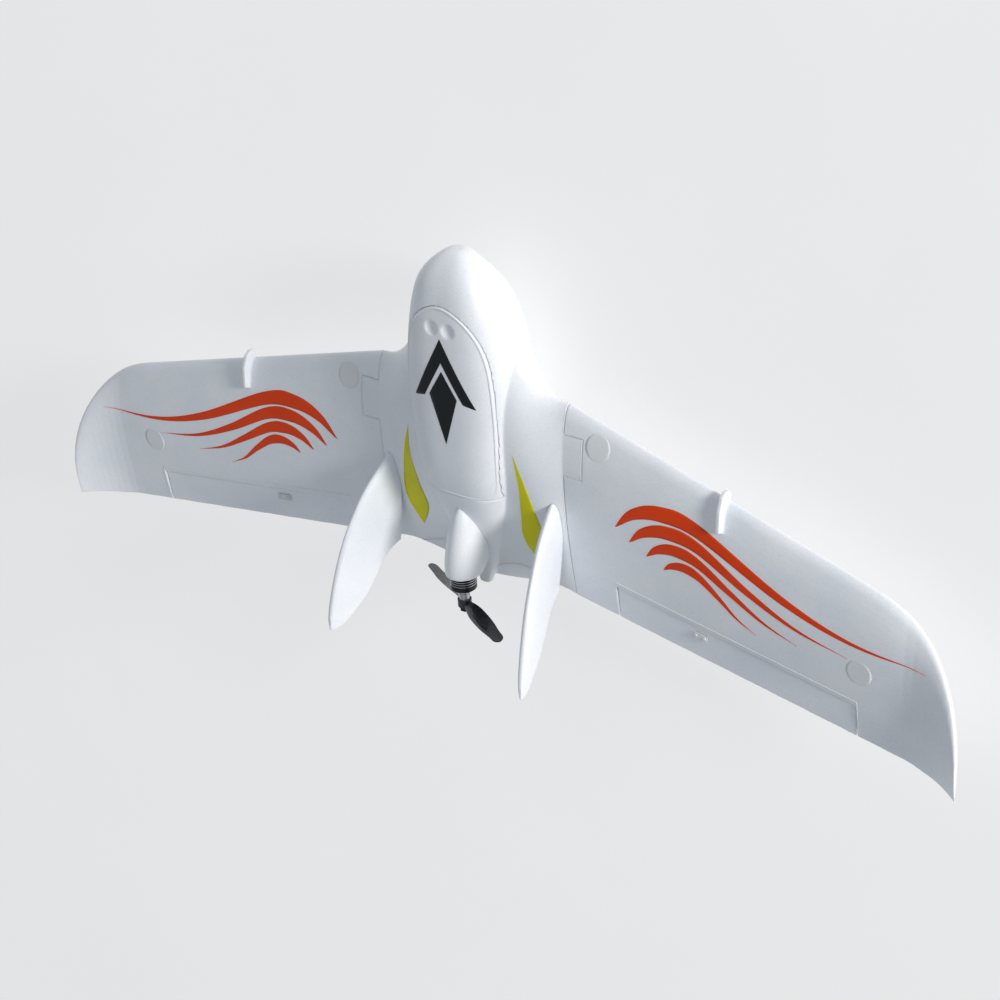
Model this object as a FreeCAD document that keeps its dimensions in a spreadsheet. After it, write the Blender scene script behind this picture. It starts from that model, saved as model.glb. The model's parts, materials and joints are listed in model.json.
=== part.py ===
"""Radio-controlled foam flying wing with a pusher propeller, as a parametric assembly.

Millimetres. +Z is up, the nose points along -Y, +X is the port (left) side.
The origin is the centre of the footprint, on the surface that the belly rests on.
"""
import FreeCAD, Part
import Sketcher
import math
import os

Vector = FreeCAD.Vector
Rotation = FreeCAD.Rotation
Placement = FreeCAD.Placement

doc = FreeCAD.newDocument("flying_wing")

# ---------------------------------------------------------------- driving dimensions
SIZES = {
    # airframe heights and stations
    "belly_depth": 48.0, "split_height": 50.0, "motor_height": 94.5,
    # wing planform: edges are straight lines of y against |x|
    "half_span": 602.0, "nose_y": -230.0, "tail_y": 187.5,
    "lead_y": -108.6, "lead_slope": 0.291, "trail_y": 147.5, "trail_slope": 0.152,
    "dihedral_slope": 0.022, "tip_trail_y": 231.5, "edge_thick": 1.6,
    "tip_start": 487.0, "tip_sweep": 134.0, "tip_rounding": 2.2, "tip_fullness": 2.4,
    "wing_thick_ratio": 0.11, "wing_camber": 0.021, "tip_rise_start": 525.0, "tip_rise": 32.0,
    "seam_x": 123.0, "seam_gap": 0.4,
    "tab_reach": 24.0, "tab_front": -41.0, "tab_rear": 6.5, "tab_floor": 61.0,
    # elevons and their hinge
    "elevon_in": 182.0, "elevon_out": 474.0, "elevon_chord": 41.9, "elevon_nose": 4.6,
    "hinge_lift": 1.4, "hinge_gap": 0.5, "end_gap": 1.0,
    # wing fence
    "fence_x": 317.0, "fence_wide": 5.0, "fence_front": -27.5, "fence_rear": 18.5, "fence_tall": 5.5,
    # spars
    "spar_y": -14.5, "spar_z": 55.0, "spar_radius": 4.0, "spar_bore": 3.0, "spar_length": 420.0,
    "sleeve_radius": 5.2, "sleeve_bore": 4.15, "sleeve_length": 90.0,
    "pin_y": 105.5, "pin_z": 55.0, "pin_radius": 2.0, "pin_length": 80.0, "pin_start": 90.0,
    "pin_bore": 2.2,
    # equipment bay and hatch
    "bay_half": 38.0, "bay_keel": 18.0, "bay_front": -146.0, "bay_rear": 47.0, "bay_floor": 9.0,
    "ledge_height": 78.0, "bulkhead_front": -28.0, "bulkhead_rear": -1.0, "bulkhead_top": 64.0,
    "hatch_gap": 0.5, "hatch_hollow": 14.0, "hatch_wall": 5.0, "hollow_front": -130.0, "hollow_rear": 35.0,
    "scoop_x": 11.0, "scoop_y": -153.0, "scoop_z": 118.0, "scoop_radius": 13.5,
    "magnet_radius": 4.0, "magnet_thick": 2.0, "magnet_x": 44.5,
    "magnet_front_y": -105.0, "magnet_rear_y": 20.0,
    # fins
    "fin_x": 110.0, "fin_cant": 11.6, "fin_root": 73.0, "fin_edge": 0.8,
    # motor, measured along the shaft from the recess floor
    "recess_y": 146.2, "recess_radius": 16.9, "fairing_end": 154.0,
    "plate_radius": 16.6, "plate_thick": 3.0, "plate_screw_circle": 12.5, "screw_radius": 1.5,
    "screw_depth": 9.0, "head_radius": 2.6, "head_tall": 1.2,
    "base_radius": 13.5, "base_thick": 4.0, "tube_radius": 5.6, "tube_bore": 4.5, "tube_length": 20.5,
    "bearing_width": 3.0, "shaft_radius": 2.0, "bearing_play": 0.03,
    "stator_radius": 11.5, "stator_start": 155.2, "stator_length": 11.5, "tooth_wide": 2.0,
    "bell_radius": 15.2, "bell_wall": 1.6, "bell_start": 153.9, "bell_length": 19.3, "cap_thick": 2.8,
    "magnet_depth": 1.5, "adapter_radius": 6.2, "adapter_length": 15.3, "stem_radius": 3.0,
    "stem_length": 15.5, "hub_radius": 8.0, "hub_length": 9.0, "stem_play": 0.05,
    "prop_radius": 92.0, "prop_rest_angle": 29.0, "washer_radius": 6.0, "washer_thick": 1.0,
    "nut_flats": 10.0, "nut_length": 5.0,
    # servo and linkage
    "linkage_x": 289.0, "servo_y": 70.5, "servo_z": 54.5, "link_radius": 12.0,
    "servo_long": 22.8, "servo_deep": 22.5, "servo_thick": 12.0, "servo_shaft_in": 6.0,
    "ear_long": 32.2, "ear_thick": 2.4, "ear_back": 5.0, "tower_radius": 5.8, "tower_tall": 4.0,
    "tower_gap": 4.0, "servo_play": 0.4, "sweep_half": 3.5, "sweep_margin": 4.5,
    "spline_radius": 2.3, "arm_thick": 1.6, "arm_hub": 3.4, "arm_width": 4.4, "arm_taper": 0.7,
    "arm_end": 2.2,
    "wire_radius": 0.75, "wire_hole": 0.95, "wire_leg": 5.5,
    "horn_thick": 1.6, "horn_base_long": 18.0, "horn_base_wide": 9.0, "horn_base_thick": 1.4,
    "horn_setback": 11.0, "horn_screw_radius": 1.0, "horn_screw_pitch": 11.0,
    "horn_head_radius": 1.9, "horn_head_tall": 1.2,
    # equipment
    "battery_long": 105.0, "battery_wide": 35.0, "battery_tall": 26.0, "battery_y": -92.0,
    "strap_wide": 20.0, "strap_thick": 1.2, "strap_play": 0.1, "pad_thick": 2.0,
    "esc_long": 36.0, "esc_wide": 24.0, "esc_tall": 8.0, "esc_x": 20.0,
    "receiver_long": 36.0, "receiver_wide": 24.0, "receiver_tall": 12.0, "receiver_x": -20.0,
    "gear_y": 23.0, "gear_lift": 8.0, "case_corner": 2.0,
}

sheet = doc.addObject("Spreadsheet::Sheet", "sizes")
for row, (alias, value) in enumerate(SIZES.items(), start=1):
    sheet.set(f"A{row}", alias)
    sheet.set(f"B{row}", str(value))
    sheet.setAlias(f"B{row}", alias)
doc.recompute()


def size(alias):
    """A driving dimension, read from the sheet."""
    return float(sheet.get(alias))


def worked_out(expression):
    """The value of an expression of sheet cells."""
    return float(sheet.evalExpression(expression))


SUBPARTS = []


def keep(thing, label):
    """Give a finished sub-part its name and list it for export."""
    thing.Label = label
    SUBPARTS.append(thing)
    return thing


def shape_part(label, shape, place=None):
    """A sub-part whose form is a free surface or a boolean of such forms."""
    feature = doc.addObject("Part::Feature", label)
    feature.Shape = shape
    if place:
        feature.Placement = place
    return keep(feature, label)


# ---------------------------------------------------------------- sketch helpers
def origin_plane(body, role):
    """One of a body's own origin planes."""
    return next(item for item in body.Origin.OriginFeatures if item.Role == role)


def new_body(name):
    return doc.addObject("PartDesign::Body", name)


def new_sketch(body, role, name):
    """A sketch on one of the body's origin planes."""
    sketch = body.newObject("Sketcher::SketchObject", name)
    sketch.AttachmentSupport = (origin_plane(body, role), [""])
    sketch.MapMode = "FlatFace"
    return sketch


def bind_point(sketch, line, end, across, along):
    """Fix one point of a sketch by two expressions."""
    for kind, axis, expression in (("DistanceX", -2, across), ("DistanceY", -1, along)):
        if abs(worked_out(expression)) < 1e-9:
            sketch.addConstraint(Sketcher.Constraint("PointOnObject", line, end, axis))
            continue
        index = sketch.addConstraint(
            Sketcher.Constraint(kind, -1, 1, line, end, worked_out(expression)))
        sketch.setExpression(f"Constraints[{index}]", expression)


def draw_outline(sketch, corners):
    """A closed outline of straight lines through corners given as pairs of expressions."""
    points = [Vector(worked_out(across), worked_out(along), 0) for across, along in corners]
    first = sketch.GeometryCount
    count = len(points)
    for i in range(count):
        sketch.addGeometry(Part.LineSegment(points[i], points[(i + 1) % count]), False)
    for i in range(count):
        sketch.addConstraint(
            Sketcher.Constraint("Coincident", first + i, 2, first + (i + 1) % count, 1))
    for i, (across, along) in enumerate(corners):
        bind_point(sketch, first + i, 1, across, along)


def draw_circle(sketch, across, along, radius):
    """A circle whose centre and radius are expressions."""
    middle = Vector(worked_out(across), worked_out(along), 0)
    circle = Part.Circle(middle, Vector(0, 0, 1), worked_out(radius))
    number = sketch.addGeometry(circle, False)
    index = sketch.addConstraint(Sketcher.Constraint("Radius", number, worked_out(radius)))
    sketch.setExpression(f"Constraints[{index}]", radius)
    bind_point(sketch, number, 3, across, along)


def box_outline(wide, long):
    """The corners of a rectangle centred on the sketch's origin."""
    return [(f"-({wide})/2", f"-({long})/2"), (f"({wide})/2", f"-({long})/2"),
            (f"({wide})/2", f"({long})/2"), (f"-({wide})/2", f"({long})/2")]


def pad(body, sketch, length, name, midplane=False, reverse=False):
    feature = body.newObject("PartDesign::Pad", name)
    feature.Profile = sketch
    feature.setExpression("Length", length)
    feature.Midplane = midplane
    feature.Reversed = reverse
    return feature


def turned_body(label, profile, place):
    """A body of revolution about its own Y axis; the profile is (radius, station) pairs."""
    body = new_body(label)
    sketch = new_sketch(body, "XY_Plane", f"{label}_profile")
    draw_outline(sketch, profile)
    turn = body.newObject("PartDesign::Revolution", f"{label}_turn")
    turn.Profile = sketch
    turn.ReferenceAxis = (sketch, ["V_Axis"])
    turn.Angle = 360
    body.Placement = place
    return body


def ring_profile(inner, outer, start, length):
    return [(inner, start), (outer, start), (outer, f"({start}) + ({length})"),
            (inner, f"({start}) + ({length})")]


def cylinder(name, radius, length, place):
    """A parametric cylinder along its own Z axis."""
    item = doc.addObject("Part::Cylinder", name)
    item.setExpression("Radius", radius)
    item.setExpression("Height", length)
    item.Placement = place
    return item


def fuse(name, items):
    item = doc.addObject("Part::MultiFuse", name)
    item.Shapes = items
    return item


def cut(name, base, tool):
    item = doc.addObject("Part::Cut", name)
    item.Base = base
    item.Tool = tool
    return item


# ---------------------------------------------------------------- plain solids for foam work
def block(low, high):
    """A box solid between two corners."""
    return Part.makeBox(high[0] - low[0], high[1] - low[1], high[2] - low[2], Vector(*low))


def rod(radius, start, along):
    """A cylinder solid from a point, along a vector."""
    return Part.makeCylinder(radius, along.Length, start, along)


def prism(outline_points, low, high):
    """A vertical prism; the outline is a smooth curve closed by one straight edge."""
    points = [Vector(x, y, low) for x, y in outline_points]
    curve = Part.BSplineCurve()
    curve.interpolate(points)
    closing = Part.LineSegment(points[-1], points[0])
    wire = Part.Wire([curve.toShape(), closing.toShape()])
    return Part.Face(wire).extrude(Vector(0, 0, high - low))


# ---------------------------------------------------------------- wing sections
def airfoil_points(steps=12):
    """Chordwise fractions, close together at the nose."""
    return [0.5 * (1 - math.cos(math.pi * i / steps)) for i in range(steps + 1)]


def half_thickness(fraction):
    """Half thickness of the section for a thickness ratio of one."""
    return 5 * (0.2969 * math.sqrt(fraction) - 0.1260 * fraction - 0.3516 * fraction ** 2
                + 0.2843 * fraction ** 3 - 0.1036 * fraction ** 4)


def section_wire(x, front, rear, trail_z, thick, camber):
    """An airfoil section in the plane of constant x, from its upper to its lower rear corner."""
    chord = rear - front
    edge = size("edge_thick") / 2 * min(1.0, thick / 8)
    upper, lower = [], []
    for part in airfoil_points():
        mean = camber * math.sin(math.pi * part ** 0.7)
        half = thick * half_thickness(part) + edge * part
        upper.append(Vector(x, front + chord * part, trail_z + mean + half))
        lower.append(Vector(x, front + chord * part, trail_z + mean - half))
    curve = Part.BSplineCurve()
    curve.interpolate(upper[::-1] + lower[1:])
    closing = Part.LineSegment(lower[-1], upper[-1])
    return Part.Wire([curve.toShape(), closing.toShape()])


def wing_front(x):
    """The leading edge: straight, then a quarter of a superellipse round the tip."""
    straight = size("lead_y") + size("lead_slope") * x
    if x <= size("tip_start"):
        return straight
    reach = (x - size("tip_start")) / (size("half_span") - size("tip_start"))
    bend = 1 - (1 - reach ** size("tip_rounding")) ** (1 / size("tip_fullness"))
    return straight + size("tip_sweep") * bend


def wing_rear(x):
    """The trailing edge: straight, level at the tip."""
    return min(size("trail_y") + size("trail_slope") * x, size("tip_trail_y"))


def wing_plane(x):
    """Height of the trailing edge: dihedral, and the upturned tip."""
    rise = max(0.0, x - size("tip_rise_start")) / (size("half_span") - size("tip_rise_start"))
    return size("belly_depth") + size("dihedral_slope") * x + size("tip_rise") * rise ** 2


def wing_section(side, x):
    chord = wing_rear(x) - wing_front(x)
    thick = size("wing_thick_ratio") * chord
    return section_wire(side * x, wing_front(x), wing_rear(x), wing_plane(x), thick,
                        size("wing_camber") * chord)


def hinge_point(side, x):
    """A point of the elevon's hinge axis."""
    y = wing_rear(x) - size("elevon_chord")
    z = size("belly_depth") + size("dihedral_slope") * x + size("hinge_lift")
    return Vector(side * x, y, z)


def hinge_direction(side):
    return Vector(side, size("trail_slope"), size("dihedral_slope"))


# ---------------------------------------------------------------- centre body
def pod_section(y, half_wide, low, high):
    """An oval across the pod, with squarer shoulders above than below."""
    middle, half_tall = (low + high) / 2, (high - low) / 2
    shoulder, keel = 3.0, 2.2
    points = []
    for i in range(24):
        angle = 2 * math.pi * i / 24
        c, s = math.cos(angle), math.sin(angle)
        power = 2 / (shoulder if s > 0 else keel)
        points.append(Vector(half_wide * math.copysign(abs(c) ** power, c), y,
                             middle + half_tall * math.copysign(abs(s) ** power, s)))
    curve = Part.BSplineCurve()
    curve.interpolate(Points=points, PeriodicFlag=True)
    return Part.Wire([curve.toShape()])


def pod_solid():
    """The fuselage pod: (station, half width, bottom, top) from nose to tail."""
    stations = [(size("nose_y"), 5.0, 59.0, 73.0), (-226.0, 16.5, 52.0, 83.5),
                (-217.0, 28.0, 44.0, 93.5), (-204.0, 39.0, 33.0, 101.0),
                (-183.0, 49.0, 17.5, 106.0), (-154.0, 57.5, 5.0, 108.0),
                (-105.0, 65.0, -2.0, 109.0), (-55.0, 66.0, -4.0, 108.5), (-5.0, 63.0, -4.0, 108.0),
                (45.0, 56.0, -1.0, 103.0), (85.0, 45.0, 9.0, 88.0), (125.0, 31.0, 22.0, 72.0),
                (160.0, 17.0, 35.0, 62.0), (size("tail_y"), 7.0, 43.0, 57.0)]
    pod = Part.makeLoft([pod_section(*station) for station in stations], True, False)
    return pod.cut(block((-100, -300, -20), (100, 300, 0)))


def centre_wing_solid():
    """The blended centre section: (|x|, front, rear, thickness, camber, droop) of its sections."""
    root = wing_rear(size("seam_x"))
    half = [(size("seam_x"), wing_front(size("seam_x")), root, 26.2, 5.0, 0.0),
            (102.0, -78.0, 162.8, 34.0, 9.5, 0.0), (80.0, -104.0, 166.0, 44.0, 13.5, 2.0),
            (58.0, -138.0, 172.5, 54.0, 16.0, 6.0), (0.0, -140.0, 180.0, 56.0, 16.5, 3.0)]
    wires = []
    for side, run in ((-1, half), (1, half[-2::-1])):
        for x, front, rear, thick, camber, droop in run:
            plane = size("belly_depth") + size("dihedral_slope") * x - droop
            wires.append(section_wire(side * x, front, rear, plane, thick, camber))
    return Part.makeLoft(wires, True, False)


HATCH_SIDE = [(51.0, 50.5), (56.5, -30.0), (56.0, -88.0), (47.5, -138.0), (28.0, -167.0)]
HATCH_NOSE = -179.0


def hatch_prism(gap, low, high):
    """The tongue-shaped hatch outline as a vertical prism, smaller all round by a gap."""
    side = [(x - gap, y if i else y - gap) for i, (x, y) in enumerate(HATCH_SIDE)]
    nose = [(0.0, HATCH_NOSE + gap)]
    return prism(side + nose + [(-x, y) for x, y in side[::-1]], low, high)


def fin_solid(side):
    """A swept fin: (height, front, rear, thickness) of its level sections, then canted outward."""
    levels = [(66.0, 42.0, 160.0, 17.0), (76.5, 46.5, 163.0, 16.5), (89.0, 55.0, 170.5, 15.5),
              (110.5, 73.0, 195.5, 14.0), (133.5, 101.0, 216.0, 12.0), (153.0, 134.0, 228.0, 10.3),
              (167.5, 170.0, 232.3, 8.5), (175.5, 195.5, 231.8, 6.2), (179.5, 213.0, 229.0, 3.4)]
    wires = []
    for height, front, rear, thick in levels:
        chord = rear - front
        near, far = [], []
        for part in airfoil_points(8):
            half = thick * half_thickness(part) + size("fin_edge") * part
            near.append(Vector(half, front + chord * part, height))
            far.append(Vector(-half, front + chord * part, height))
        curve = Part.BSplineCurve()
        curve.interpolate(near[::-1] + far[1:])
        wires.append(Part.Wire([curve.toShape(), Part.LineSegment(far[-1], near[-1]).toShape()]))
    fin = Part.makeLoft(wires, True, False)
    fin.rotate(Vector(0, 0, size("fin_root")), Vector(0, 1, 0), side * size("fin_cant"))
    fin.translate(Vector(side * size("fin_x"), 0, 0))
    return fin


def fairing_solid():
    """The teardrop motor fairing: (station, half width, bottom, top)."""
    stations = [(70.0, 2.0, 80.0, 92.5), (78.0, 9.0, 72.0, 98.0), (95.0, 15.5, 62.0, 105.0),
                (115.0, 20.0, 55.0, 110.5), (132.0, 22.0, 54.0, 114.0),
                (size("fairing_end"), 20.5, 70.0, 115.0)]
    wires = []
    for y, half_wide, low, high in stations:
        points = []
        for i in range(16):
            angle = 2 * math.pi * i / 16
            points.append(Vector(half_wide * math.cos(angle), y,
                                 (low + high) / 2 + (high - low) / 2 * math.sin(angle)))
        curve = Part.BSplineCurve()
        curve.interpolate(Points=points, PeriodicFlag=True)
        wires.append(Part.Wire([curve.toShape()]))
    return Part.makeLoft(wires, True, False)


def tab_block(side, gap):
    """The block of foam that keys each wing panel to the centre section."""
    near = size("seam_x") - 1 + gap
    far = size("seam_x") + size("tab_reach") + gap
    low = (min(side * near, side * far), size("tab_front") - gap, size("tab_floor") - gap)
    high = (max(side * near, side * far), size("tab_rear") + gap, 120.0)
    return block(low, high)


def front_bay_solid(top):
    """The battery bay: a box whose lower edges slope in to follow the round belly."""
    wide, keel, floor = size("bay_half"), size("bay_keel"), size("bay_floor")
    slope_top = floor + wide - keel
    section = [(-keel, floor), (keel, floor), (wide, slope_top), (wide, top), (-wide, top),
               (-wide, slope_top)]
    corners = [Vector(x, size("bay_front"), z) for x, z in section]
    face = Part.Face(Part.makePolygon(corners + corners[:1]))
    return face.extrude(Vector(0, size("bulkhead_front") - size("bay_front"), 0))


def magnet_spots():
    return [(side * size("magnet_x"), y) for side in (1, -1)
            for y in (size("magnet_front_y"), size("magnet_rear_y"))]


def make_centre_body():
    """Upper and lower foam halves, the hatch cover, the fins and the motor fairing."""
    outer = pod_solid().fuse(centre_wing_solid())
    ledge, tall = size("ledge_height"), 200.0
    hatch = outer.common(hatch_prism(size("hatch_gap"), ledge, tall))
    hollow_half = size("bay_half") - size("hatch_wall")
    hatch = hatch.cut(block((-hollow_half, size("hollow_front"), ledge - 1),
                            (hollow_half, size("hollow_rear"), ledge + size("hatch_hollow"))))
    for side in (1, -1):
        scoop = Vector(side * size("scoop_x"), size("scoop_y"), size("scoop_z"))
        hatch = hatch.cut(Part.makeSphere(size("scoop_radius"), scoop))

    shell = outer.cut(hatch_prism(0.0, ledge, tall))
    bay = size("bay_half")
    front_bay = front_bay_solid(ledge + 1)
    rear_bay = block((-bay, size("bulkhead_rear"), size("bay_floor") + size("gear_lift")),
                     (bay, size("bay_rear"), ledge + 1))
    above = block((-bay, size("bulkhead_front") - 1, size("bulkhead_top")),
                  (bay, size("bulkhead_rear") + 1, ledge + 1))
    shell = shell.cut(front_bay).cut(rear_bay).cut(above)

    for side in (1, -1):
        tab = wing_solid(side).common(tab_block(side, 0.0))
        shell = shell.fuse(tab)
        pin = rod(size("pin_radius"), Vector(side * size("pin_start"), size("pin_y"), size("pin_z")),
                  Vector(side * size("pin_length"), 0, 0))
        shell = shell.cut(pin).cut(fin_solid(side))
    half_spar = size("spar_length") / 2
    shell = shell.cut(rod(size("spar_radius"), Vector(-half_spar, size("spar_y"), size("spar_z")),
                          Vector(2 * half_spar, 0, 0)))
    depth = Vector(0, 0, size("magnet_thick"))
    for x, y in magnet_spots():
        shell = shell.cut(rod(size("magnet_radius"), Vector(x, y, ledge) - depth, depth))
        hatch = hatch.cut(rod(size("magnet_radius"), Vector(x, y, ledge), depth))

    fairing = fairing_solid().cut(outer)
    recess = rod(size("recess_radius"), Vector(0, size("recess_y"), size("motor_height")),
                 Vector(0, 30, 0))
    fairing = largest(fairing.cut(recess))
    for angle in SCREW_ANGLES:
        fairing = fairing.cut(screw_solid(angle, size("recess_y"), size("screw_depth")))

    split = size("split_height")
    lower = shell.common(block((-400, -400, -10), (400, 400, split)))
    upper = shell.common(block((-400, -400, split), (400, 400, 300)))
    shape_part("centre_body_lower", largest(lower))
    shape_part("centre_body_upper", largest(upper))
    shape_part("hatch_cover", largest(hatch))
    shape_part("motor_fairing", fairing)
    shape_part("fin_left", fin_solid(1))
    shape_part("fin_right", fin_solid(-1))


SCREW_ANGLES = (45, 135, 225, 315)


def screw_spot(angle, y):
    """A point on the axis of one motor mount screw."""
    turn, reach = math.radians(angle), size("plate_screw_circle")
    return Vector(reach * math.cos(turn), y, size("motor_height") + reach * math.sin(turn))


def screw_solid(angle, end, length):
    """The shank of one motor mount screw, ending at a station."""
    return rod(size("screw_radius"), screw_spot(angle, end - length), Vector(0, length, 0))


def largest(shape):
    """The main solid of a boolean's result, with no loose slivers."""
    return max(shape.Solids, key=lambda solid: solid.Volume)


# ---------------------------------------------------------------- wing panels
def wing_solid(side):
    """The whole outer panel, before anything is cut from it; close stations round the tip."""
    start, steps = size("tip_start"), 16
    reach = size("half_span") - 0.6 - start
    stations = [size("seam_x") - 2.0]
    stations += [start + reach * math.sin(math.pi / 2 * i / steps) for i in range(steps + 1)]
    return Part.makeLoft([wing_section(side, x) for x in stations], True, True)


def fence_solid(side):
    """The stall fence: a ridge that wraps round the leading edge."""
    x = size("fence_x")
    front, rear, rise = size("fence_front"), size("fence_rear"), size("fence_tall")
    base = wing_plane(x)
    chin, brow = base - 5, base + 13
    crest = base + 15 + rise
    points = [(front + 8, chin), (front + 1.5, base - 1), (front, base + 5), (front + 4, brow),
              (front + 18, crest - 1), (rear - 4, crest + 1), (rear, brow - 1)]
    corners = [Vector(side * x - size("fence_wide") / 2, y, z) for y, z in points]
    face = Part.Face(Part.makePolygon(corners + corners[:1]))
    return face.extrude(Vector(size("fence_wide"), 0, 0))


def elevon_bay(side):
    """The space that the elevon fills: a sheared block aft of the hinge and a round trough."""
    near = hinge_point(side, size("elevon_in") - size("end_gap"))
    far = hinge_point(side, size("elevon_out") + size("end_gap"))
    along, aft, lift = far - near, Vector(0, 60, 0), Vector(0, 0, 30)
    corners = [near - lift, near + aft - lift, near + aft + lift, near + lift]
    space = Part.Face(Part.makePolygon(corners + corners[:1])).extrude(along)
    trough = rod(size("elevon_nose") + size("hinge_gap"), near - along * 0.05, along * 1.1)
    between = block((min(near.x, far.x), -300, -100), (max(near.x, far.x), 400, 300))
    return space.fuse(trough.common(between))


def linkage_frame(side, spot):
    """Axes square to the hinge, with X to port, Y aft and Z up."""
    along = hinge_direction(side)
    along.normalize()
    across = along * side
    up = Vector(0, 0, 1) - across * across.z
    up.normalize()
    return Placement(spot, Rotation(across, up.cross(across), up, "ZXY"))


def servo_place(side):
    """The frame of the servo shaft at the linkage plane."""
    return linkage_frame(side, Vector(side * size("linkage_x"), size("servo_y"), size("servo_z")))


def horn_place(side):
    """The frame of the control horn, on the hinge axis."""
    return linkage_frame(side, hinge_point(side, size("linkage_x")))


def servo_stations():
    """Distances outboard of the arm: the case's near and far faces, and the ears' near face."""
    near = size("tower_gap") + size("tower_tall")
    return near, near + size("servo_deep") - 0.5, near + size("ear_back")


def servo_pocket(side):
    """The hollow under the wing for the servo, its ears and the sweep of its arm."""
    play, low = size("servo_play"), -30
    near, far, ear = servo_stations()
    front = size("servo_shaft_in") - size("servo_long") - play
    rear = size("servo_shaft_in") + play
    roof = size("servo_thick") / 2 + play
    spare = (size("ear_long") - size("servo_long")) / 2

    def hollow(start, end, y_front, y_rear, top):
        inner, outer = sorted((side * start, side * end))
        return block((inner, y_front, low), (outer, y_rear, top))

    case = hollow(size("tower_gap") - 1, far + play, front, rear, roof)
    ears = hollow(ear - play, ear + size("ear_thick") + play, front - spare, rear + spare, roof)
    half, reach = size("sweep_half"), size("link_radius") + size("sweep_margin")
    sweep = rod(reach, Vector(-half, 0, 0), Vector(2 * half, 0, 0))
    sweep = sweep.common(block((-half, -reach, -reach), (half, reach, roof)))
    slot = block((-half, -size("link_radius"), low), (half, size("link_radius"), 0))
    pocket = case.fuse([ears, sweep, slot])
    pocket.Placement = servo_place(side)
    return pocket


def make_wing(side, name):
    """An outer wing panel with its spar sleeve."""
    seam = size("seam_x") + size("seam_gap")
    panel = wing_solid(side).fuse(fence_solid(side))
    outer = block((min(side * seam, side * 700), -300, -50), (max(side * seam, side * 700), 400, 300))
    panel = panel.common(outer)
    panel = panel.cut(tab_block(side, size("seam_gap")))
    panel = panel.cut(elevon_bay(side))
    panel = panel.cut(servo_pocket(side))
    spot = Vector(side * seam, size("spar_y"), size("spar_z"))
    along = Vector(side * size("sleeve_length"), 0, 0)
    panel = panel.cut(rod(size("sleeve_radius"), spot, along))
    pin_spot = Vector(side * (seam - 1), size("pin_y"), size("pin_z"))
    reach = size("pin_start") + size("pin_length") - size("seam_x") + 2
    panel = panel.cut(rod(size("pin_bore"), pin_spot, Vector(side * reach, 0, 0)))
    shape_part(f"wing_{name}", largest(panel))


def make_elevon(side, name):
    """An elevon: round nose on the hinge axis, tapering to the trailing edge."""
    sketch = doc.addObject("Sketcher::SketchObject", f"elevon_{name}_section")
    nose, chord = "sizes.elevon_nose", "sizes.elevon_chord"
    radius = size("elevon_nose")
    arc = Part.Arc(Vector(0, radius, 0), Vector(-radius, 0, 0), Vector(0, -radius, 0))
    sketch.addGeometry(arc, False)
    corners = [("0", nose), (chord, "sizes.edge_thick/2 - sizes.hinge_lift"),
               (chord, "-sizes.edge_thick/2 - sizes.hinge_lift"), ("0", f"-{nose}")]
    points = [Vector(worked_out(a), worked_out(b), 0) for a, b in corners]
    for start, end in zip(points, points[1:]):
        sketch.addGeometry(Part.LineSegment(start, end), False)
    index = sketch.addConstraint(Sketcher.Constraint("Radius", 0, radius))
    sketch.setExpression(f"Constraints[{index}]", nose)
    sketch.addConstraint(Sketcher.Constraint("Coincident", 0, 3, -1, 1))
    sketch.addConstraint(Sketcher.Constraint("PointOnObject", 0, 1, -2))
    sketch.addConstraint(Sketcher.Constraint("PointOnObject", 0, 2, -2))
    sketch.addConstraint(Sketcher.Constraint("Coincident", 0, 1, 1, 1))
    sketch.addConstraint(Sketcher.Constraint("Coincident", 1, 2, 2, 1))
    sketch.addConstraint(Sketcher.Constraint("Coincident", 2, 2, 3, 1))
    sketch.addConstraint(Sketcher.Constraint("Coincident", 3, 2, 0, 2))
    bind_point(sketch, 2, 1, *corners[1])
    bind_point(sketch, 2, 2, *corners[2])
    sketch.Placement = Placement(hinge_point(side, size("elevon_in")),
                                 Rotation(Vector(0, 1, 0), Vector(0, 0, 1), Vector(1, 0, 0), "ZXY"))
    panel = doc.addObject("Part::Extrusion", f"elevon_{name}_panel")
    panel.Base = sketch
    panel.DirMode = "Custom"
    panel.Dir = hinge_direction(side)
    panel.Solid = True
    panel.setExpression("LengthFwd", "(sizes.elevon_out - sizes.elevon_in)"
                        " * sqrt(1 + sizes.trail_slope^2 + sizes.dihedral_slope^2)")
    screws = [cylinder(f"horn_bore_{name}_{i}", "sizes.horn_screw_radius", "40",
                       horn_screw_place(side, shift, -20)) for i, shift in enumerate((-0.5, 0.5))]
    keep(cut(f"elevon_{name}", panel, fuse(f"horn_bores_{name}", screws)), f"elevon_{name}")


def horn_screw_place(side, shift, height):
    """One horn screw's axis: shift is in screw pitches along the hinge direction."""
    place = horn_place(side)
    local = Vector(shift * size("horn_screw_pitch"), size("horn_setback"), height)
    return Placement(place.multVec(local), place.Rotation)


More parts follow.
